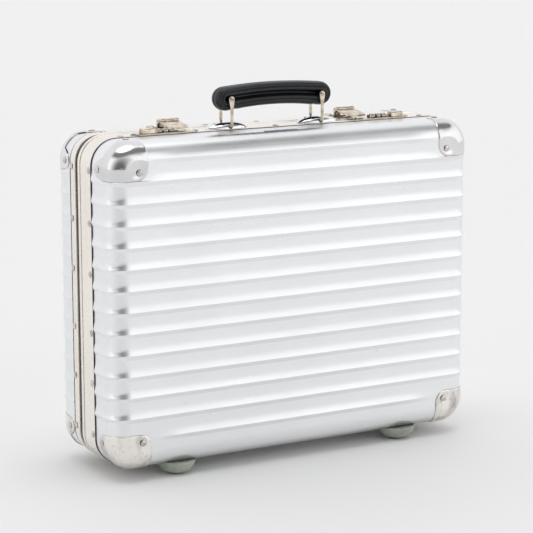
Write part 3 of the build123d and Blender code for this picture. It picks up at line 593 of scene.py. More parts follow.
def open_box(xs, depths, heights):
    """Grid points and quads of a box without its rear side, in half coordinates."""
    panels = []

    def panel(rows, cols, build):
        points = [build(r, c) for r in rows for c in cols]
        panels.append((points, grid_faces(len(rows), len(cols))))

    panel(heights, xs, lambda h, x: (x, 0.0, h))
    for side in (-1, 1):
        panel(heights, depths, lambda h, d: (side * HALF_W, d, h))
        panel(depths, xs, lambda d, x: (x, d, side * HALF_H))
    verts, faces = joined(panels)
    fine = 1e7
    keys = np.round(np.array(verts) * fine).astype(np.int64)
    keys, index = np.unique(keys, axis=0, return_inverse=True)
    points = keys / fine
    index = index.reshape(-1)
    centre = np.array([0, depths[-1], 0])
    result = []
    for face in faces:
        face = tuple(int(index[i]) for i in face)
        a, b, c = points[face[0]], points[face[1]], points[face[2]]
        outward = np.dot(np.cross(b - a, c - b), (a + c) / 2 - centre)
        result.append(face if outward > 0 else face[::-1])
    return points, result


def waviness(points):
    """The slight unevenness of pressed sheet, a few hundredths of a millimetre."""
    x, d, h = points[:, 0], points[:, 1], points[:, 2]
    broad = np.sin(31 * x + 17 * h + 1.3) * np.cos(23 * h - 41 * d)
    return 0.035 * MM * (broad + 0.6 * np.sin(67 * x - 13 * h + 40 * d))


def shell(rear):
    """One half's pressed skin, its rim tucked inside the frame's slot."""
    rim = (Y_FRAME if not rear else -Y_REAR_END) - Y_FRONT
    bend = stations(HALF_W - CORNER_R, (HALF_W, 16))
    xs = np.concatenate([-bend[::-1], stations(-bend[0], (bend[0], 34))[1:-1], bend])
    depths = stations(0.0, (EDGE_R, 12), (rim - 2 * MM, 6), (rim - 0.7 * MM, 4), (rim + 4 * MM, 3))
    points, faces = open_box(xs, depths, rib_stations())
    lift = rib_height(points, rim) + waviness(points)
    outer = to_frame(onto_case(points, lift), rear)
    inner = to_frame(onto_case(points, lift - SHEET_T), rear)
    verts, faces = two_sided(outer, inner, faces)
    half, body = ("rear", "lid") if rear else ("front", "base")
    piece(half + "_skin", verts, faces, body, "shell_aluminium", ALUMINIUM, [half + "_shell"],
          sharp=50)


# ====================================================================== the frames, seal and the black strips painted in as the joints' shadow
# the frames, seal and gaskets
# ======================================================================

def outline(arc_steps=14, straight_steps=14):
    """Stations round the case: the point each swings about and its outward direction."""
    cx, cz = HALF_W - CORNER_R, HALF_H - CORNER_R
    corners = [(cx, cz, 0), (-cx, cz, 90), (-cx, -cz, 180), (cx, -cz, 270)]
    result = []
    for i, (x, z, start) in enumerate(corners):
        for k in range(arc_steps + 1):
            angle = math.radians(start + 90 * k / arc_steps)
            result.append((x, z, math.cos(angle), math.sin(angle)))
        nx, nz, _ = corners[(i + 1) % 4]
        direction = result[-1][2:]
        for k in range(1, straight_steps):
            t = k / straight_steps
            result.append((x + (nx - x) * t, z + (nz - z) * t, *direction))
    return result


def swept(section):
    """A closed section, (y, height above the sheet), carried round the outline. The height may be
    a function of how far the station faces up or down."""
    path = outline()
    verts = []
    for cx, cz, nx, nz in path:
        for y, lift in section:
            reach = CORNER_R + (lift(abs(nz)) if callable(lift) else lift)
            verts.append((cx + nx * reach, y, Z_MID + cz + nz * reach))
    return verts, grid_faces(len(path), len(section), wrap_rows=True, wrap_cols=True)


def crown(y0, y1, base, height, steps=8):
    """A low arch from one station to another."""
    rise = []
    for k in range(steps + 1):
        t = k / steps
        rise.append((y0 + (y1 - y0) * t, base + height * (1 - (2 * t - 1) ** 2)))
    return rise


def bead(start, end, steps=8):
    """The full round bead of a frame, from one station to another."""
    mid = (start + end) / 2
    half = (end - start) / 2
    arc = []
    for k in range(steps + 1):
        turn = math.pi * k / steps
        lift = GROOVE_LIFT + (BEAD_PROUD - GROOVE_LIFT) * math.sin(turn) ** BEAD_FULLNESS
        arc.append((mid - half * math.cos(turn), lift))
    return arc


def frame_section(edge, band_end, bead_start, bead_end, slot_end):
    """Section of a frame: rivet flange, low crown, groove and bead, with the slot for the sheet.
    It runs from the frame's edge by the shell to its edge by the split."""
    step = math.copysign(1.0, band_end - edge)
    flange = edge + step * 9.5 * MM
    lip = 0.35 * MM
    top = [(edge, SLOT_MOUTH), (edge, FRAME_PROUD - lip),
           (edge + step * lip * 0.35, FRAME_PROUD - lip * 0.3),
           (edge + step * lip, FRAME_PROUD), (flange, FRAME_PROUD)]
    top += crown(flange + step * 0.8 * MM, band_end - step * 0.5 * MM,
                 FRAME_PROUD - 0.05 * MM, 0.42 * MM)
    top += [(band_end - step * 0.1 * MM, FRAME_PROUD - 0.5 * MM), (band_end, GROOVE_LIFT),
            (bead_start, GROOVE_LIFT)]
    top += bead(bead_start, bead_end)
    bottom = [(bead_end, -FRAME_T), (edge, -FRAME_T), (edge, SLOT_BACK),
              (slot_end, SLOT_BACK), (slot_end, SLOT_MOUTH)]
    return top + bottom


def frames():
    front = frame_section(Y_FRAME, Y_SPLIT - 6.5 * MM, Y_SPLIT - 4.5 * MM, Y_SPLIT,
                          Y_FRAME + SLOT_DEPTH)
    for half, body, section in (("front", "base", front), ("rear", "lid", rear_section())):
        piece(half + "_frame_rolled", *swept(section), body, "frame_metal", FRAME_METAL,
              [half + "_frame"], sharp=30)


def rear_section():
    """Section of the lid's frame: a bead at the split, a narrow groove and a rivet band."""
    split, edge = Y_REAR_FRAME, Y_REAR_END
    bead_end = split + 4.5 * MM
    section = [(split, -FRAME_T), (split, GROOVE_LIFT)]
    section += bead(split, bead_end)
    section += [(bead_end + 0.4 * MM, GROOVE_LIFT)]
    section += crown(bead_end + 0.6 * MM, edge - 0.1 * MM, FRAME_PROUD - 0.25 * MM, 0.25 * MM)
    section += [(edge, FRAME_PROUD - 0.5 * MM), (edge, SLOT_MOUTH), (edge - SLOT_DEPTH, SLOT_MOUTH),
                (edge - SLOT_DEPTH, SLOT_BACK), (edge, SLOT_BACK), (edge, -FRAME_T)]
    return section


def seal():
    """The grey strip in the joint: two soft ridges with a fine line between them."""
    low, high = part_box("lid_seal")
    y0, y1 = low.y, high.y
    top = -(HALF_W - high.x)
    inside = top - 3.4 * MM
    mid = y0 + (y1 - y0) * 0.55
    section = [(y0, inside), (y0, top - 0.9 * MM)]
    section += crown(y0 + 0.15 * MM, mid - 0.25 * MM, top - 0.6 * MM, 0.6 * MM)
    section += [(mid, top - 1.1 * MM)]
    section += crown(mid + 0.25 * MM, y1 - 0.1 * MM, top - 0.6 * MM, 0.6 * MM)
    section += [(y1, top - 0.9 * MM), (y1, inside)]
    piece("seal_strip", *swept(section), "lid", "seal_grey", SEAL_RUBBER, ["lid_seal"], sharp=40)


def gap_shadow_strips():
    """A black strip between each frame and its shell that stands in for the shadow in the gap there:
    painted shadow. It is taller on the sides than along the top.
    """
    def lift(level):
        return (0.86 - 0.40 * level) * MM

    for half, body, edge, sign in (("front", "base", Y_FRAME, -1), ("rear", "lid", Y_REAR_END, 1)):
        far = edge + sign * 1.5 * MM
        near = edge - sign * 0.02 * MM
        section = [(near, -0.3 * MM), (near, lift), (edge + sign * 0.9 * MM, lift),
                   (edge + sign * 1.3 * MM, lambda level: lift(level) - 0.15 * MM),
                   (far, lambda level: lift(level) - 0.45 * MM), (far, -0.3 * MM)]
        piece(half + "_gap_shadow", *swept(section), body, "seal_grey", GAP_SHADOW_BLACK, sharp=40)


# ======================================================================
# corner caps
# ======================================================================

def arc_points(centre, radius, start, end, steps):
    """Points on an arc, degrees."""
    angles = [math.radians(start + (end - start) * k / steps) for k in range(steps + 1)]
    return [(centre[0] + radius * math.cos(a), centre[1] + radius * math.sin(a)) for a in angles]


def line_points(start, end, steps):
    """Points from start towards end, without the end."""
    start, end = np.array(start), np.array(end)
    return [tuple(start + (end - start) * k / steps) for k in range(steps)]


def cap_edge():
    """The cap's rim on the sharp box of the top right front corner, in half coordinates:
    down the face, across to the side, round the side's lobe, over the top and round its lobe."""
    x_in = HALF_W - CAP_REACH_X
    z_in = HALF_H - CAP_REACH_Z
    side_d, side_z = CAP_SIDE_RIVET
    top_x, top_d = CAP_TOP_RIVET
    over_side = side_z + LOBE_R
    past_top = top_x + LOBE_R
    face = line_points((x_in, HALF_H), (x_in, z_in + CAP_CORNER_R), 10)
    face += arc_points((x_in + CAP_CORNER_R, z_in + CAP_CORNER_R), CAP_CORNER_R, 180, 270, 12)
    face += line_points((x_in + CAP_CORNER_R + 1.5 * MM, z_in), (HALF_W, z_in), 12)
    side = line_points((0.0, z_in), (side_d - 5 * MM, z_in + 1.2 * MM), 12)
    side += arc_points((side_d, side_z), LOBE_R, -78, 78, 16)
    side += rounded([(side_d - 1 * MM, over_side), (CAP_DEPTH, over_side + 0.5 * MM),
                     (CAP_DEPTH, HALF_H - 6 * MM)], 3.5 * MM, 5, closed=False)[1:-1]
    side += line_points((CAP_DEPTH, over_side + 5 * MM), (CAP_DEPTH, HALF_H), 8)
    top = line_points((HALF_W, CAP_DEPTH), (past_top + 5 * MM, CAP_DEPTH), 8)
    top += rounded([(past_top + 6 * MM, CAP_DEPTH), (past_top + 0.3 * MM, CAP_DEPTH),
                    (past_top, top_d)], 3.0 * MM, 4, closed=False)[1:-1]
    top += arc_points((top_x, top_d), LOBE_R, 2, 178, 16)
    top += line_points((top_x - LOBE_R, top_d - 1.5 * MM), (x_in, 0.0), 12)
    rim = [(x, 0.0, z) for x, z in face]
    rim += [(HALF_W, d, z) for d, z in side]
    rim += [(x, d, HALF_H) for x, d in top]
    return np.array(rim)


def cap_dish(points):
    """Soft shaping of a cap: sunk round the face rivet, a slight swell beyond it."""
    away = np.linalg.norm(points - np.array(CAP_FACE_RIVET), axis=1)
    sink = -0.80 * MM * np.exp(-((away / (8.0 * MM)) ** 2))
    swell = 0.55 * MM * np.exp(-(((away - 14.5 * MM) / (3.6 * MM)) ** 2))
    x, d, h = points[:, 0], points[:, 1], points[:, 2]
    ripple = 0.05 * MM * np.sin(x * 190 + h * 130) * np.cos(d * 160)
    return sink + swell + ripple


def cap(x_sign, z_sign, rear, name, material):
    """One corner cap: a pressed skin with a rolled lip, closed underneath."""
    rim = cap_edge()
    apex = np.array([HALF_W, 0.0, HALF_H])
    rings = [0.03, 0.08, 0.14, 0.21, 0.28, 0.35, 0.42, 0.49,
             0.56, 0.63, 0.70, 0.77, 0.83, 0.88, 0.92, 0.95]
    lip = [(0.970, CAP_T), (0.985, CAP_T - 0.08 * MM), (0.996, CAP_T - 0.32 * MM),
           (1.0, CAP_T - 0.72 * MM), (1.0, CAP_UNDERSIDE)]
    layers = []
    for t in rings:
        points = apex + (rim - apex) * t
        edge = smoothstep(t, 0.97, 0.85)
        layers.append(onto_case(points, CAP_T + cap_dish(points) * edge))
    for t, lift in lip:
        layers.append(onto_case(apex + (rim - apex) * t, lift))
    for t in (0.9, 0.5, 0.1):
        layers.append(onto_case(apex + (rim - apex) * t, CAP_UNDERSIDE))
    count = len(rim)
    tips = [onto_case(apex[None], CAP_T), onto_case(apex[None], CAP_UNDERSIDE)]
    points = np.vstack(layers + tips)
    faces = grid_faces(len(layers), count, wrap_cols=True)
    tip = len(layers) * count
    last = (len(layers) - 1) * count
    for k in range(count):
        after = (k + 1) % count
        faces.append((after, k, tip))
        faces.append((last + k, last + after, tip + 1))
    points = points * np.array([x_sign, 1, z_sign])
    half, body = ("rear", "lid") if rear else ("front", "base")
    node = "cap_" + half + "_" + name
    piece(node + "_pressed", to_frame(points, rear), faces, body, "cap_chrome", material,
          [node], sharp=60)


def caps():
    for z_name, z_sign, material in (("top", 1, CHROME), ("bottom", -1, WORN_CAP)):
        for x_name, x_sign in (("left", -1), ("right", 1)):
            for rear in (False, True):
                cap(x_sign, z_sign, rear, z_name + "_" + x_name, material)


# ======================================================================
# rivets, screws and feet
# ======================================================================

def dome_profile(radius, height, shank_r, shank_l, rim=0.25 * MM, steps=9):
    """Section of a domed rivet: crown, small upright rim and shank, from the top down."""
    profile = [(0.0, height)]
    for k in range(1, steps + 1):
        angle = math.pi / 2 * k / steps
        profile.append((radius * math.sin(angle), rim + (height - rim) * math.cos(angle)))
    return profile + [(radius, 0.02 * MM), (radius - 0.1 * MM, 0.0), (shank_r, 0.0),
                      (shank_r, -shank_l), (0.0, -shank_l)]


def rivet_axis(low, high):
    """The outward axis of a rivet from its box: the short side, away from the case's middle."""
    size = high - low
    axis = min(range(3), key=lambda i: size[i])
    centre = (low + high) / 2
    middle = Vector((0, 0, Z_MID))
    sign = 1 if centre[axis] > middle[axis] else -1
    tip = centre.copy()
    tip[axis] = high[axis] if sign > 0 else low[axis]
    normal = Vector((0, 0, 0))
    normal[axis] = sign
    return tip, normal, size[axis]


def rivet_group(node, body, head_h, shank_r, slot, material, radius=None):
    """The rivets of one CAD node, each turned with a crown and a fine rim."""
    parts = []
    for low, high in islands(node):
        tip, normal, length = rivet_axis(low, high)
        head_r = radius or max(high - low) / 2
        profile = dome_profile(head_r, head_h, shank_r, length - head_h)
        parts.append(moved(lathe(profile, 28), facing(tip - normal * head_h, normal)))
    piece(node + "_turned", *joined(parts), body, slot, material, [node], sharp=35)


def rivets():
    for node, body in (("front_cap_rivets", "base"), ("front_frame_rivets", "base"),
                       ("rear_cap_rivets", "lid"), ("rear_frame_rivets", "lid")):
        rivet_group(node, body, 1.3 * MM, 1.6 * MM, "rivet_metal", RIVET_METAL)


def foot(node, body):
    """A squashed dome of clear grey rubber with a moulded rim and a worn flat."""
    low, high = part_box(node)
    radius = (high.x - low.x) / 2
    centre_x = (low.x + high.x) / 2
    centre_y = low.y + radius if body == "base" else high.y - radius
    worn_r = 6.0 * MM
    profile = [(0.0, 0.25 * MM), (4.6 * MM, 0.1 * MM), (worn_r, 0.0)]
    rise = Z_LOW - 1.0 * MM
    flat = math.asin(worn_r / radius)
    for k in range(1, 19):
        angle = flat + (math.pi / 2 - flat) * k / 18
        profile.append((radius * math.sin(angle), rise * (1 - math.cos(angle) / math.cos(flat))))
    profile += [(radius, rise + 0.5 * MM), (radius - 0.2 * MM, Z_LOW),
                (radius - 1.2 * MM, Z_LOW + 0.2 * MM), (0.0, Z_LOW + 0.2 * MM)]
    verts, faces = lathe(profile, 56)
    placed = []
    for x, y, z in verts:
        y += centre_y
        if z > rise * 0.5:
            over = max(0.0, abs(y) - (abs(Y_FRONT) - EDGE_R))
            gap = EDGE_R - math.sqrt(max(EDGE_R ** 2 - over ** 2, 0.0))
            z += min(gap, high.z - Z_LOW) * (z / Z_LOW)
        placed.append((x + centre_x, y, z))
    piece(node + "_moulded", placed, faces, body, "foot_rubber", FOOT_RUBBER, [node], sharp=50)


# ======================================================================
# handle
# ======================================================================

def grip():
    """The arched grip: padded rolls round a deep groove on both faces, a wrap on the lower roll."""
    low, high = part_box("handle_grip")
    pin_low, pin_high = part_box("handle_pins")
    pin_z = (pin_low.z + pin_high.z) / 2
    half_t = (high.y - low.y) / 2
    mid_y = (high.y + low.y) / 2
    reach = (high.x - low.x) / 2
    half_h = 12.5 * MM
    chord = reach - half_h
    arch = high.z - half_h - pin_z
    radius = (chord ** 2 + arch ** 2) / (2 * arch)
    centre_z = pin_z + arch - radius
    spread = math.asin(chord / radius)

    def medial(angle):
        return Vector((radius * math.sin(angle), 0, centre_z + radius * math.cos(angle)))

    ring = []
    steps = 56
    for k in range(steps + 1):
        angle = -spread + 2 * spread * k / steps
        ring.append((medial(angle), Vector((math.sin(angle), 0, math.cos(angle))), "top"))
    for k in range(1, 18):
        turn = spread + math.pi * k / 18
        ring.append((medial(spread), Vector((math.sin(turn), 0, math.cos(turn))), "end"))
    for k in range(steps + 1):
        angle = spread - 2 * spread * k / steps
        ring.append((medial(angle), -Vector((math.sin(angle), 0, math.cos(angle))), "under"))
    for k in range(1, 18):
        turn = math.pi - spread + math.pi * k / 18
        ring.append((medial(-spread), Vector((math.sin(turn), 0, math.cos(turn))), "end"))

    section = grip_section(half_h, half_t)
    verts = []
    wrap = (-chord * 0.80, chord * 0.84)
    for place, out, where in ring:
        for share, across in section:
            lift = 0.0
            if where == "under" and wrap[0] < place.x < wrap[1] and share > 0.28:
                lift = 0.40 * MM
            d = share * half_h * (0.945 + 0.06 * (place.x / chord) ** 2)
            y = across * (half_t - 0.45 * MM)
            grow = 1 + lift / half_h
            point = place + out * (d * grow)
            verts.append((point.x, mid_y + y * grow, point.z))
    faces = grid_faces(len(ring), len(section), wrap_rows=True)
    piece("grip_leather", verts, faces, "grip", "grip_black", LEATHER, ["handle_grip"], sharp=60)


def grip_section(half_h, half_t):
    """Half the grip's section, from the front groove over both rolls to the rear groove,
    as shares of the half height and half thickness."""
    side = [(0.0, -0.16), (0.07, -0.17), (0.13, -0.24), (0.17, -0.46), (0.195, -0.70), (0.235, -0.87),
            (0.30, -0.97), (0.38, -1.0), (0.46, -0.975), (0.525, -0.905), (0.565, -0.865), (0.605, -0.89),
            (0.67, -0.93), (0.75, -0.915), (0.84, -0.83), (0.92, -0.66), (0.975, -0.45), (1.0, -0.28),
            (0.99, -0.15), (0.97, -0.07), (0.955, -0.03), (0.95, 0.0)]
    return side + [(share, -across) for share, across in reversed(side[:-1])]


def bail(side_name):
    """A U of drawn rod: each leg swells to a flattened eye; a crossbar runs under the dome."""
    low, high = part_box("bail_" + side_name)
    pin_low, pin_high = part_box("handle_pins")
    eye_z = (pin_low.z + pin_high.z) / 2
    x = (low.x + high.x) / 2
    rod_r = 1.6 * MM
    eye_r = 3.3 * MM
    cross_z = low.z + rod_r
    mid_y = (low.y + high.y) / 2
    leg = (high.y - low.y) / 2 - rod_r
    parts = []
    for sign in (-1, 1):
        sections = []
        bend = [math.pi / 2 * k / 6 for k in range(7)]
        bend_r = 2.2 * MM
        for angle in bend:
            y = mid_y + sign * (leg - bend_r + bend_r * math.sin(angle))
            z = cross_z + bend_r * (1 - math.cos(angle))
            along = Vector((0, sign * math.cos(angle), math.sin(angle)))
            sections.append((Vector((x, y, z)), along, rod_r, rod_r))
        sections.insert(0, (Vector((x, mid_y, cross_z)), Vector((0, sign, 0)), rod_r, rod_r))
        leg_y = mid_y + sign * leg
        top_rod = eye_z - 14 * MM
        for z in np.linspace(cross_z + bend_r + 1 * MM, top_rod, 5):
            sections.append((Vector((x, leg_y, z)), UP, rod_r, rod_r))
        for k in range(1, 9):
            t = k / 8
            z = top_rod + (eye_z - top_rod) * t
            width = rod_r * 0.95 + (eye_r - rod_r * 0.95) * float(smoothstep(t, 0.1, 1.0))
            thick = rod_r + (EYE_HALF_T - rod_r) * t
            sections.append((Vector((x, leg_y, z)), UP, width, thick))
        for k in range(1, 9):
            angle = math.pi / 2 * k / 8
            squeeze = max(math.cos(angle), 0.02)
            z = eye_z + eye_r * math.sin(angle)
            thick = EYE_HALF_T * max(squeeze, 0.05) ** 0.25
            sections.append((Vector((x, leg_y, z)), UP, eye_r * squeeze, thick))
        parts.append(tube(sections))
    node = "bail_" + side_name
    piece(node + "_drawn", *joined(parts), node, "bail_nickel", NICKEL, [node], sharp=50)


def tube(sections, steps=20):
    """Oval sections joined into a closed rod; each is
    (centre, direction, half width in x, half depth)."""
    verts = []
    for centre, along, width, depth in sections:
        side = Vector((1, 0, 0))
        other = along.cross(side).normalized()
        for k in range(steps):
            angle = TAU * k / steps
            c, s = math.cos(angle), math.sin(angle)
            c = math.copysign(abs(c) ** 0.85, c)
            s = math.copysign(abs(s) ** 0.85, s)
            verts.append(tuple(centre + side * width * c + other * depth * s))
    faces = grid_faces(len(sections), steps, wrap_cols=True)
    faces.append(tuple(reversed(range(steps))))
    base = (len(sections) - 1) * steps
    faces.append(tuple(base + k for k in range(steps)))
    return verts, faces


def handle_pins():
    """Flared tubular pins: a rolled head with a hole at each end."""
    hole = [(0.0, -1.9), (0.75, -1.9), (0.8, -0.25), (1.05, 0.0)]
    flare = [(1.5, 0.0), (1.95, -0.2), (2.2, -0.45), (2.2, -0.6), (1.5, -0.6)]
    head = [(r * MM, h * MM) for r, h in hole + flare + [(1.5, -14.0), (0.0, -14.0)]]
    parts = []
    for low, high in islands("handle_pins"):
        x = (low.x + high.x) / 2
        z = (low.z + high.z) / 2
        for sign, end in ((-1, low.y), (1, high.y)):
            parts.append(moved(lathe(head, 28), facing((x, end, z), (0, sign, 0))))
    piece("handle_pins_flared", *joined(parts), "grip", "bail_nickel", NICKEL, ["handle_pins"],
          sharp=35)


def dome(side_name):
    """An oval chrome cover, drawn over a low brim, with a countersunk hole at each end."""
    node = "handle_dome_" + side_name
    low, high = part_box(node)
    a, b = (high.x - low.x) / 2, (high.y - low.y) / 2
    height = high.z - low.z
    cx, cy = (high.x + low.x) / 2, (high.y + low.y) / 2
    holes = [((lo.x + hi.x) / 2 - cx, (hi.x - lo.x) / 2) for lo, hi in islands("dome_screws")
             if low.x < (lo.x + hi.x) / 2 < high.x]
    rings, steps = 40, 96
    verts = [(cx, cy, low.z + height)]
    for r in range(1, rings + 1):
        t = r / rings
        for k in range(steps):
            angle = TAU * k / steps
            x, y = a * t * math.cos(angle), b * t * math.sin(angle)
            z = height * max(1 - t ** 2.3, 0.0) ** 0.62
            for offset, radius in holes:
                away = math.hypot(x - offset, y)
                inside, outside = radius + 0.2 * MM, radius + 1.2 * MM
                if away < outside:
                    wall = float(smoothstep(away, inside, outside))
                    z = min(z, COUNTERSINK_Z + (z - COUNTERSINK_Z) * wall)
            verts.append((cx + x, cy + y, low.z + z))
    faces = [(0, 1 + k, 1 + (k + 1) % steps) for k in range(steps)]
    faces += [tuple(i + 1 for i in f) for f in grid_faces(rings, steps, wrap_cols=True)]
    faces.append(tuple(reversed(range(1 + (rings - 1) * steps, 1 + rings * steps))))
    piece(node + "_drawn", verts, faces, "base", "dome_chrome", DOME_CHROME, [node], sharp=55)


def slotted_screws():
    """Small screws down in the domes, with a cross recess sunk in each head."""
    parts = []
    for low, high in islands("dome_screws"):
        cx, cy = (low.x + high.x) / 2, (low.y + high.y) / 2
        radius = (high.x - low.x) / 2
        height = high.z - low.z
        rings, steps = 10, 40
        verts = []
        for r in range(rings + 1):
            t = r / rings
            for k in range(steps):
                angle = TAU * k / steps
                x, y = radius * t * math.cos(angle), radius * t * math.sin(angle)
                z = height - 0.35 * MM * t ** 3
                if min(abs(x), abs(y)) < 0.32 * MM and max(abs(x), abs(y)) < 1.2 * MM:
                    z -= 0.7 * MM
                verts.append((cx + x, cy + y, low.z + z))
        verts += [(x, y, low.z) for x, y, z in verts[-steps:]]
        faces = grid_faces(rings + 2, steps, wrap_cols=True)
        faces.append(tuple(reversed(range((rings + 1) * steps, (rings + 2) * steps))))
        parts.append((verts, faces))
    piece("dome_screws_cut", *joined(parts), "base", "bail_nickel", NICKEL, ["dome_screws"],
          sharp=30)


# ======================================================================
# locks, hinges, badge and linings
# ======================================================================

def locks():
    for side in ("left", "right"):
        refined("lock_base_" + side, "base", NICKEL, 0.28 * MM, 3)
        refined("release_slider_" + side, "slider_" + side, NICKEL, 0.45 * MM, 3)
        refined("dial_axle_" + side, "base", DIAL_METAL, 0.15 * MM)
        refined("hasp_" + side, "hasp_" + side, NICKEL, 0.30 * MM, 3)
        refined("hasp_mount_" + side, "lid", NICKEL, 0.30 * MM, 3)
        refined("hasp_pin_" + side, "lid", DIAL_METAL, 0.25 * MM)
        stud("hasp_stud_" + side)
        for number in (1, 2, 3):
            dial = f"dial_{side}_{number}"
            refined(dial, dial, DIAL_METAL, 0.18 * MM)
    rivet_group("lock_rivets", "base", 0.6 * MM, 1.2 * MM, "rivet_metal", RIVET_METAL)


def stud(node):
    """A round-topped stud with a turned neck."""
    low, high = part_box(node)
    radius = (high.x - low.x) / 2
    height = high.z - low.z
    profile = [(0.0, height)]
    for k in range(1, 11):
        angle = math.pi / 2 * k / 10
        rise = height * 0.42 + height * 0.58 * math.cos(angle) ** 0.9
        profile.append((radius * math.sin(angle), rise))
    profile += [(radius, height * 0.34), (radius * 0.93, height * 0.27), (radius * 0.80, height * 0.20),
                (radius * 0.80, 0.3 * MM), (radius * 0.95, 0.1 * MM), (radius * 0.95, 0.0), (0.0, 0.0)]
    place = Matrix.Translation(((low.x + high.x) / 2, (low.y + high.y) / 2, low.z))
    piece(node + "_turned", *moved(lathe(profile, 40), place), "lid", "lock_nickel", NICKEL,
          [node], sharp=40)


def hinges():
    for node, body in (("base_hinge_leaves", "base"), ("lid_hinge_leaves", "lid"),
                       ("hinge_pins", "lid")):
        refined(node, body, HINGE_STEEL, 0.25 * MM)
    for body in ("base", "lid"):
        rivet_group(body + "_hinge_rivets", body, 0.5 * MM, 1.2 * MM, "hinge_steel", RIVET_METAL,
                    2.2 * MM)


def lining(rear):
    """A quilted cloth tray inside one half, with a piped edge."""
    half, body = ("rear", "lid") if rear else ("front", "base")
    low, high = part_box(half + "_lining")
    out_gap = HALF_W - high.x
    floor_y = high.y if rear else low.y
    start = -Y_FRONT - abs(floor_y)
    mouth = (-Y_FRONT - low.y) if rear else (high.y - Y_FRONT)
    thick = 1.5 * MM
    bend = stations(HALF_W - CORNER_R, (HALF_W, 9))
    xs = np.concatenate([-bend[::-1], stations(-bend[0], (bend[0], 60))[1:-1], bend])
    bend_z = stations(HALF_H - CORNER_R, (HALF_H, 9))
    zs = np.concatenate([-bend_z[::-1], stations(-bend_z[0], (bend_z[0], 46))[1:-1], bend_z])
    depths = stations(0.0, (EDGE_R, 7), (mouth, 12))
    points, faces = open_box(xs, depths, zs)
    x, d, h = points[:, 0], points[:, 1], points[:, 2]
    quilt = math.pi / (44 * MM)
    diamonds = np.abs(np.sin((x + h) * quilt)) * np.abs(np.sin((x - h) * quilt))
    face = smoothstep(np.maximum(np.abs(x) / HALF_W, np.abs(h) / HALF_H), 0.93, 0.88) * (d < 1e-6)
    puff = 0.9 * MM * np.sqrt(np.clip(diamonds, 0, 1)) * face
    edge = 0.5 * MM * smoothstep(d, mouth - 3.5 * MM, mouth - 1.5 * MM)
    outer = onto_case(points, -out_gap)
    inner = onto_case(points, -out_gap - thick - puff - edge)
    for layer in (outer, inner):
        layer[:, 1] = np.maximum(layer[:, 1], start + layer[:, 1] - out_gap)
    verts, faces = two_sided(to_frame(outer, rear), to_frame(inner, rear), faces)
    made = piece(half + "_lining_cloth", verts, faces, body, "lining_cloth", LINING_CLOTH,
                 [half + "_lining"], sharp=60)


# ======================================================================
# stage
# ======================================================================

CAMERA = Vector((-1.0776, -1.9101, 0.6180))
LOOK = Vector((0.4822, 0.8556, -0.1881))
LENS = 139.2
ROLL = math.radians(-0.13)
FLOOR_GREY = 0.885


def camera():
    data = bpy.data.cameras.new("camera")
    data.lens = LENS
    data.sensor_width = 36
    data.clip_end = 100
    obj = bpy.data.objects.new("camera", data)
    bpy.context.scene.collection.objects.link(obj)
    turn = LOOK.to_track_quat("-Z", "Y").to_matrix().to_4x4()
    obj.matrix_world = Matrix.Translation(CAMERA) @ turn @ Matrix.Rotation(ROLL, 4, "Z")
    bpy.context.scene.camera = obj


def floor():
    """A plain pale sweep under and far behind the case."""
    half, count = 30.0, 25
    mesh = bpy.data.meshes.new("floor")
    steps = np.linspace(-half, half, count)
    verts = [(x, y, 0.0) for y in steps for x in steps]
    mesh.from_pydata(verts, [], grid_faces(count, count))
    obj = bpy.data.objects.new("floor", mesh)
    bpy.context.scene.collection.objects.link(obj)
    paint = Paint("pale_sweep")
    paint.shader.inputs["Base Color"].default_value = (FLOOR_GREY, FLOOR_GREY, FLOOR_GREY, 1)
    paint.shader.inputs["Roughness"].default_value = 0.6
    paint.shader.inputs["Specular IOR Level"].default_value = 0.2
    mesh.materials.append(paint.material)


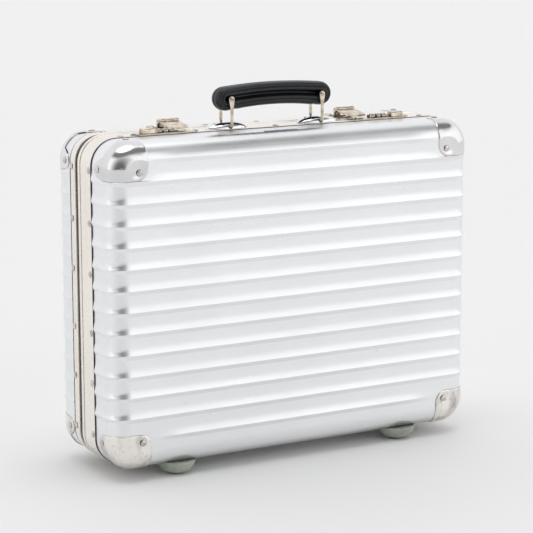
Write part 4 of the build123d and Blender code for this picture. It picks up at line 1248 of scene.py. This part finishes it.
def studio():
    """Soft white surroundings, brightest overhead, dimmer between the walls and the overhead
    light and towards the front left. A height is 0 at the horizon and 1 straight up."""
    world = bpy.data.worlds.new("studio")
    bpy.context.scene.world = world
    world.use_nodes = True
    tree = world.node_tree
    back = tree.nodes["Background"]
    link = tree.links.new

    def maths(operation, first, second):
        made = tree.nodes.new("ShaderNodeMath")
        made.operation = operation
        for socket, value in zip(made.inputs, (first, second)):
            if isinstance(value, (int, float)):
                socket.default_value = value
            else:
                link(value, socket)
        return made.outputs["Value"]

    def spread(source, low, high):
        made = tree.nodes.new("ShaderNodeMapRange")
        made.interpolation_type = "SMOOTHSTEP"
        made.inputs["From Min"].default_value = low
        made.inputs["From Max"].default_value = high
        link(source, made.inputs["Value"])
        return made.outputs["Result"]

    parts = tree.nodes.new("ShaderNodeSeparateXYZ")
    link(tree.nodes.new("ShaderNodeTexCoord").outputs["Generated"], parts.inputs["Vector"])
    x, y, z = parts.outputs["X"], parts.outputs["Y"], parts.outputs["Z"]
    ramp = tree.nodes.new("ShaderNodeValToRGB")
    elements = ramp.color_ramp.elements
    horizon, zenith = 1.25, 3.0
    walls = ((0.42, 1.28), (0.60, 1.10))
    gap = ((0.72, 0.24), (0.87, 0.26))
    overhead = ((0.935, 2.3),)
    elements[0].color = (horizon, horizon, horizon, 1)
    elements[1].color = (zenith, zenith, zenith, 1)
    for height, value in walls + gap + overhead:
        elements.new(height).color = (value, value, value, 1)
    link(z, ramp.inputs["Fac"])
    toward = maths("ADD", maths("MULTIPLY", x, -0.49), maths("MULTIPLY", y, -0.87))
    dim = spread(toward, 0.55, 1.0)
    mixes = []
    for first, second, factor in ((ramp.outputs["Color"], (0.95, 0.95, 0.96), spread(y, -0.1, 0.3)),
                                  (None, (0.16, 0.16, 0.165), dim)):
        mix = tree.nodes.new("ShaderNodeMix")
        mix.data_type = "RGBA"
        link(factor, mix.inputs["Factor"])
        link(first or mixes[-1], mix.inputs[6])
        mix.inputs[7].default_value = (*second, 1)
        mixes.append(mix.outputs[2])
    link(mixes[-1], back.inputs["Color"])


for rear_half in (False, True):
    shell(rear_half)
    lining(rear_half)
frames()
seal()
gap_shadow_strips()
caps()
rivets()
for node, body in (("foot_front_left", "base"), ("foot_front_right", "base"),
                   ("foot_rear_left", "lid"), ("foot_rear_right", "lid")):
    foot(node, body)
grip()
for side_name in ("left", "right"):
    bail(side_name)
    dome(side_name)
handle_pins()
slotted_screws()
locks()
hinges()
refined("badge_plate", "base", BADGE_METAL, 0.22 * MM, 3)
camera()
floor()
studio()
bpy.context.scene.view_settings.view_transform = "Standard"
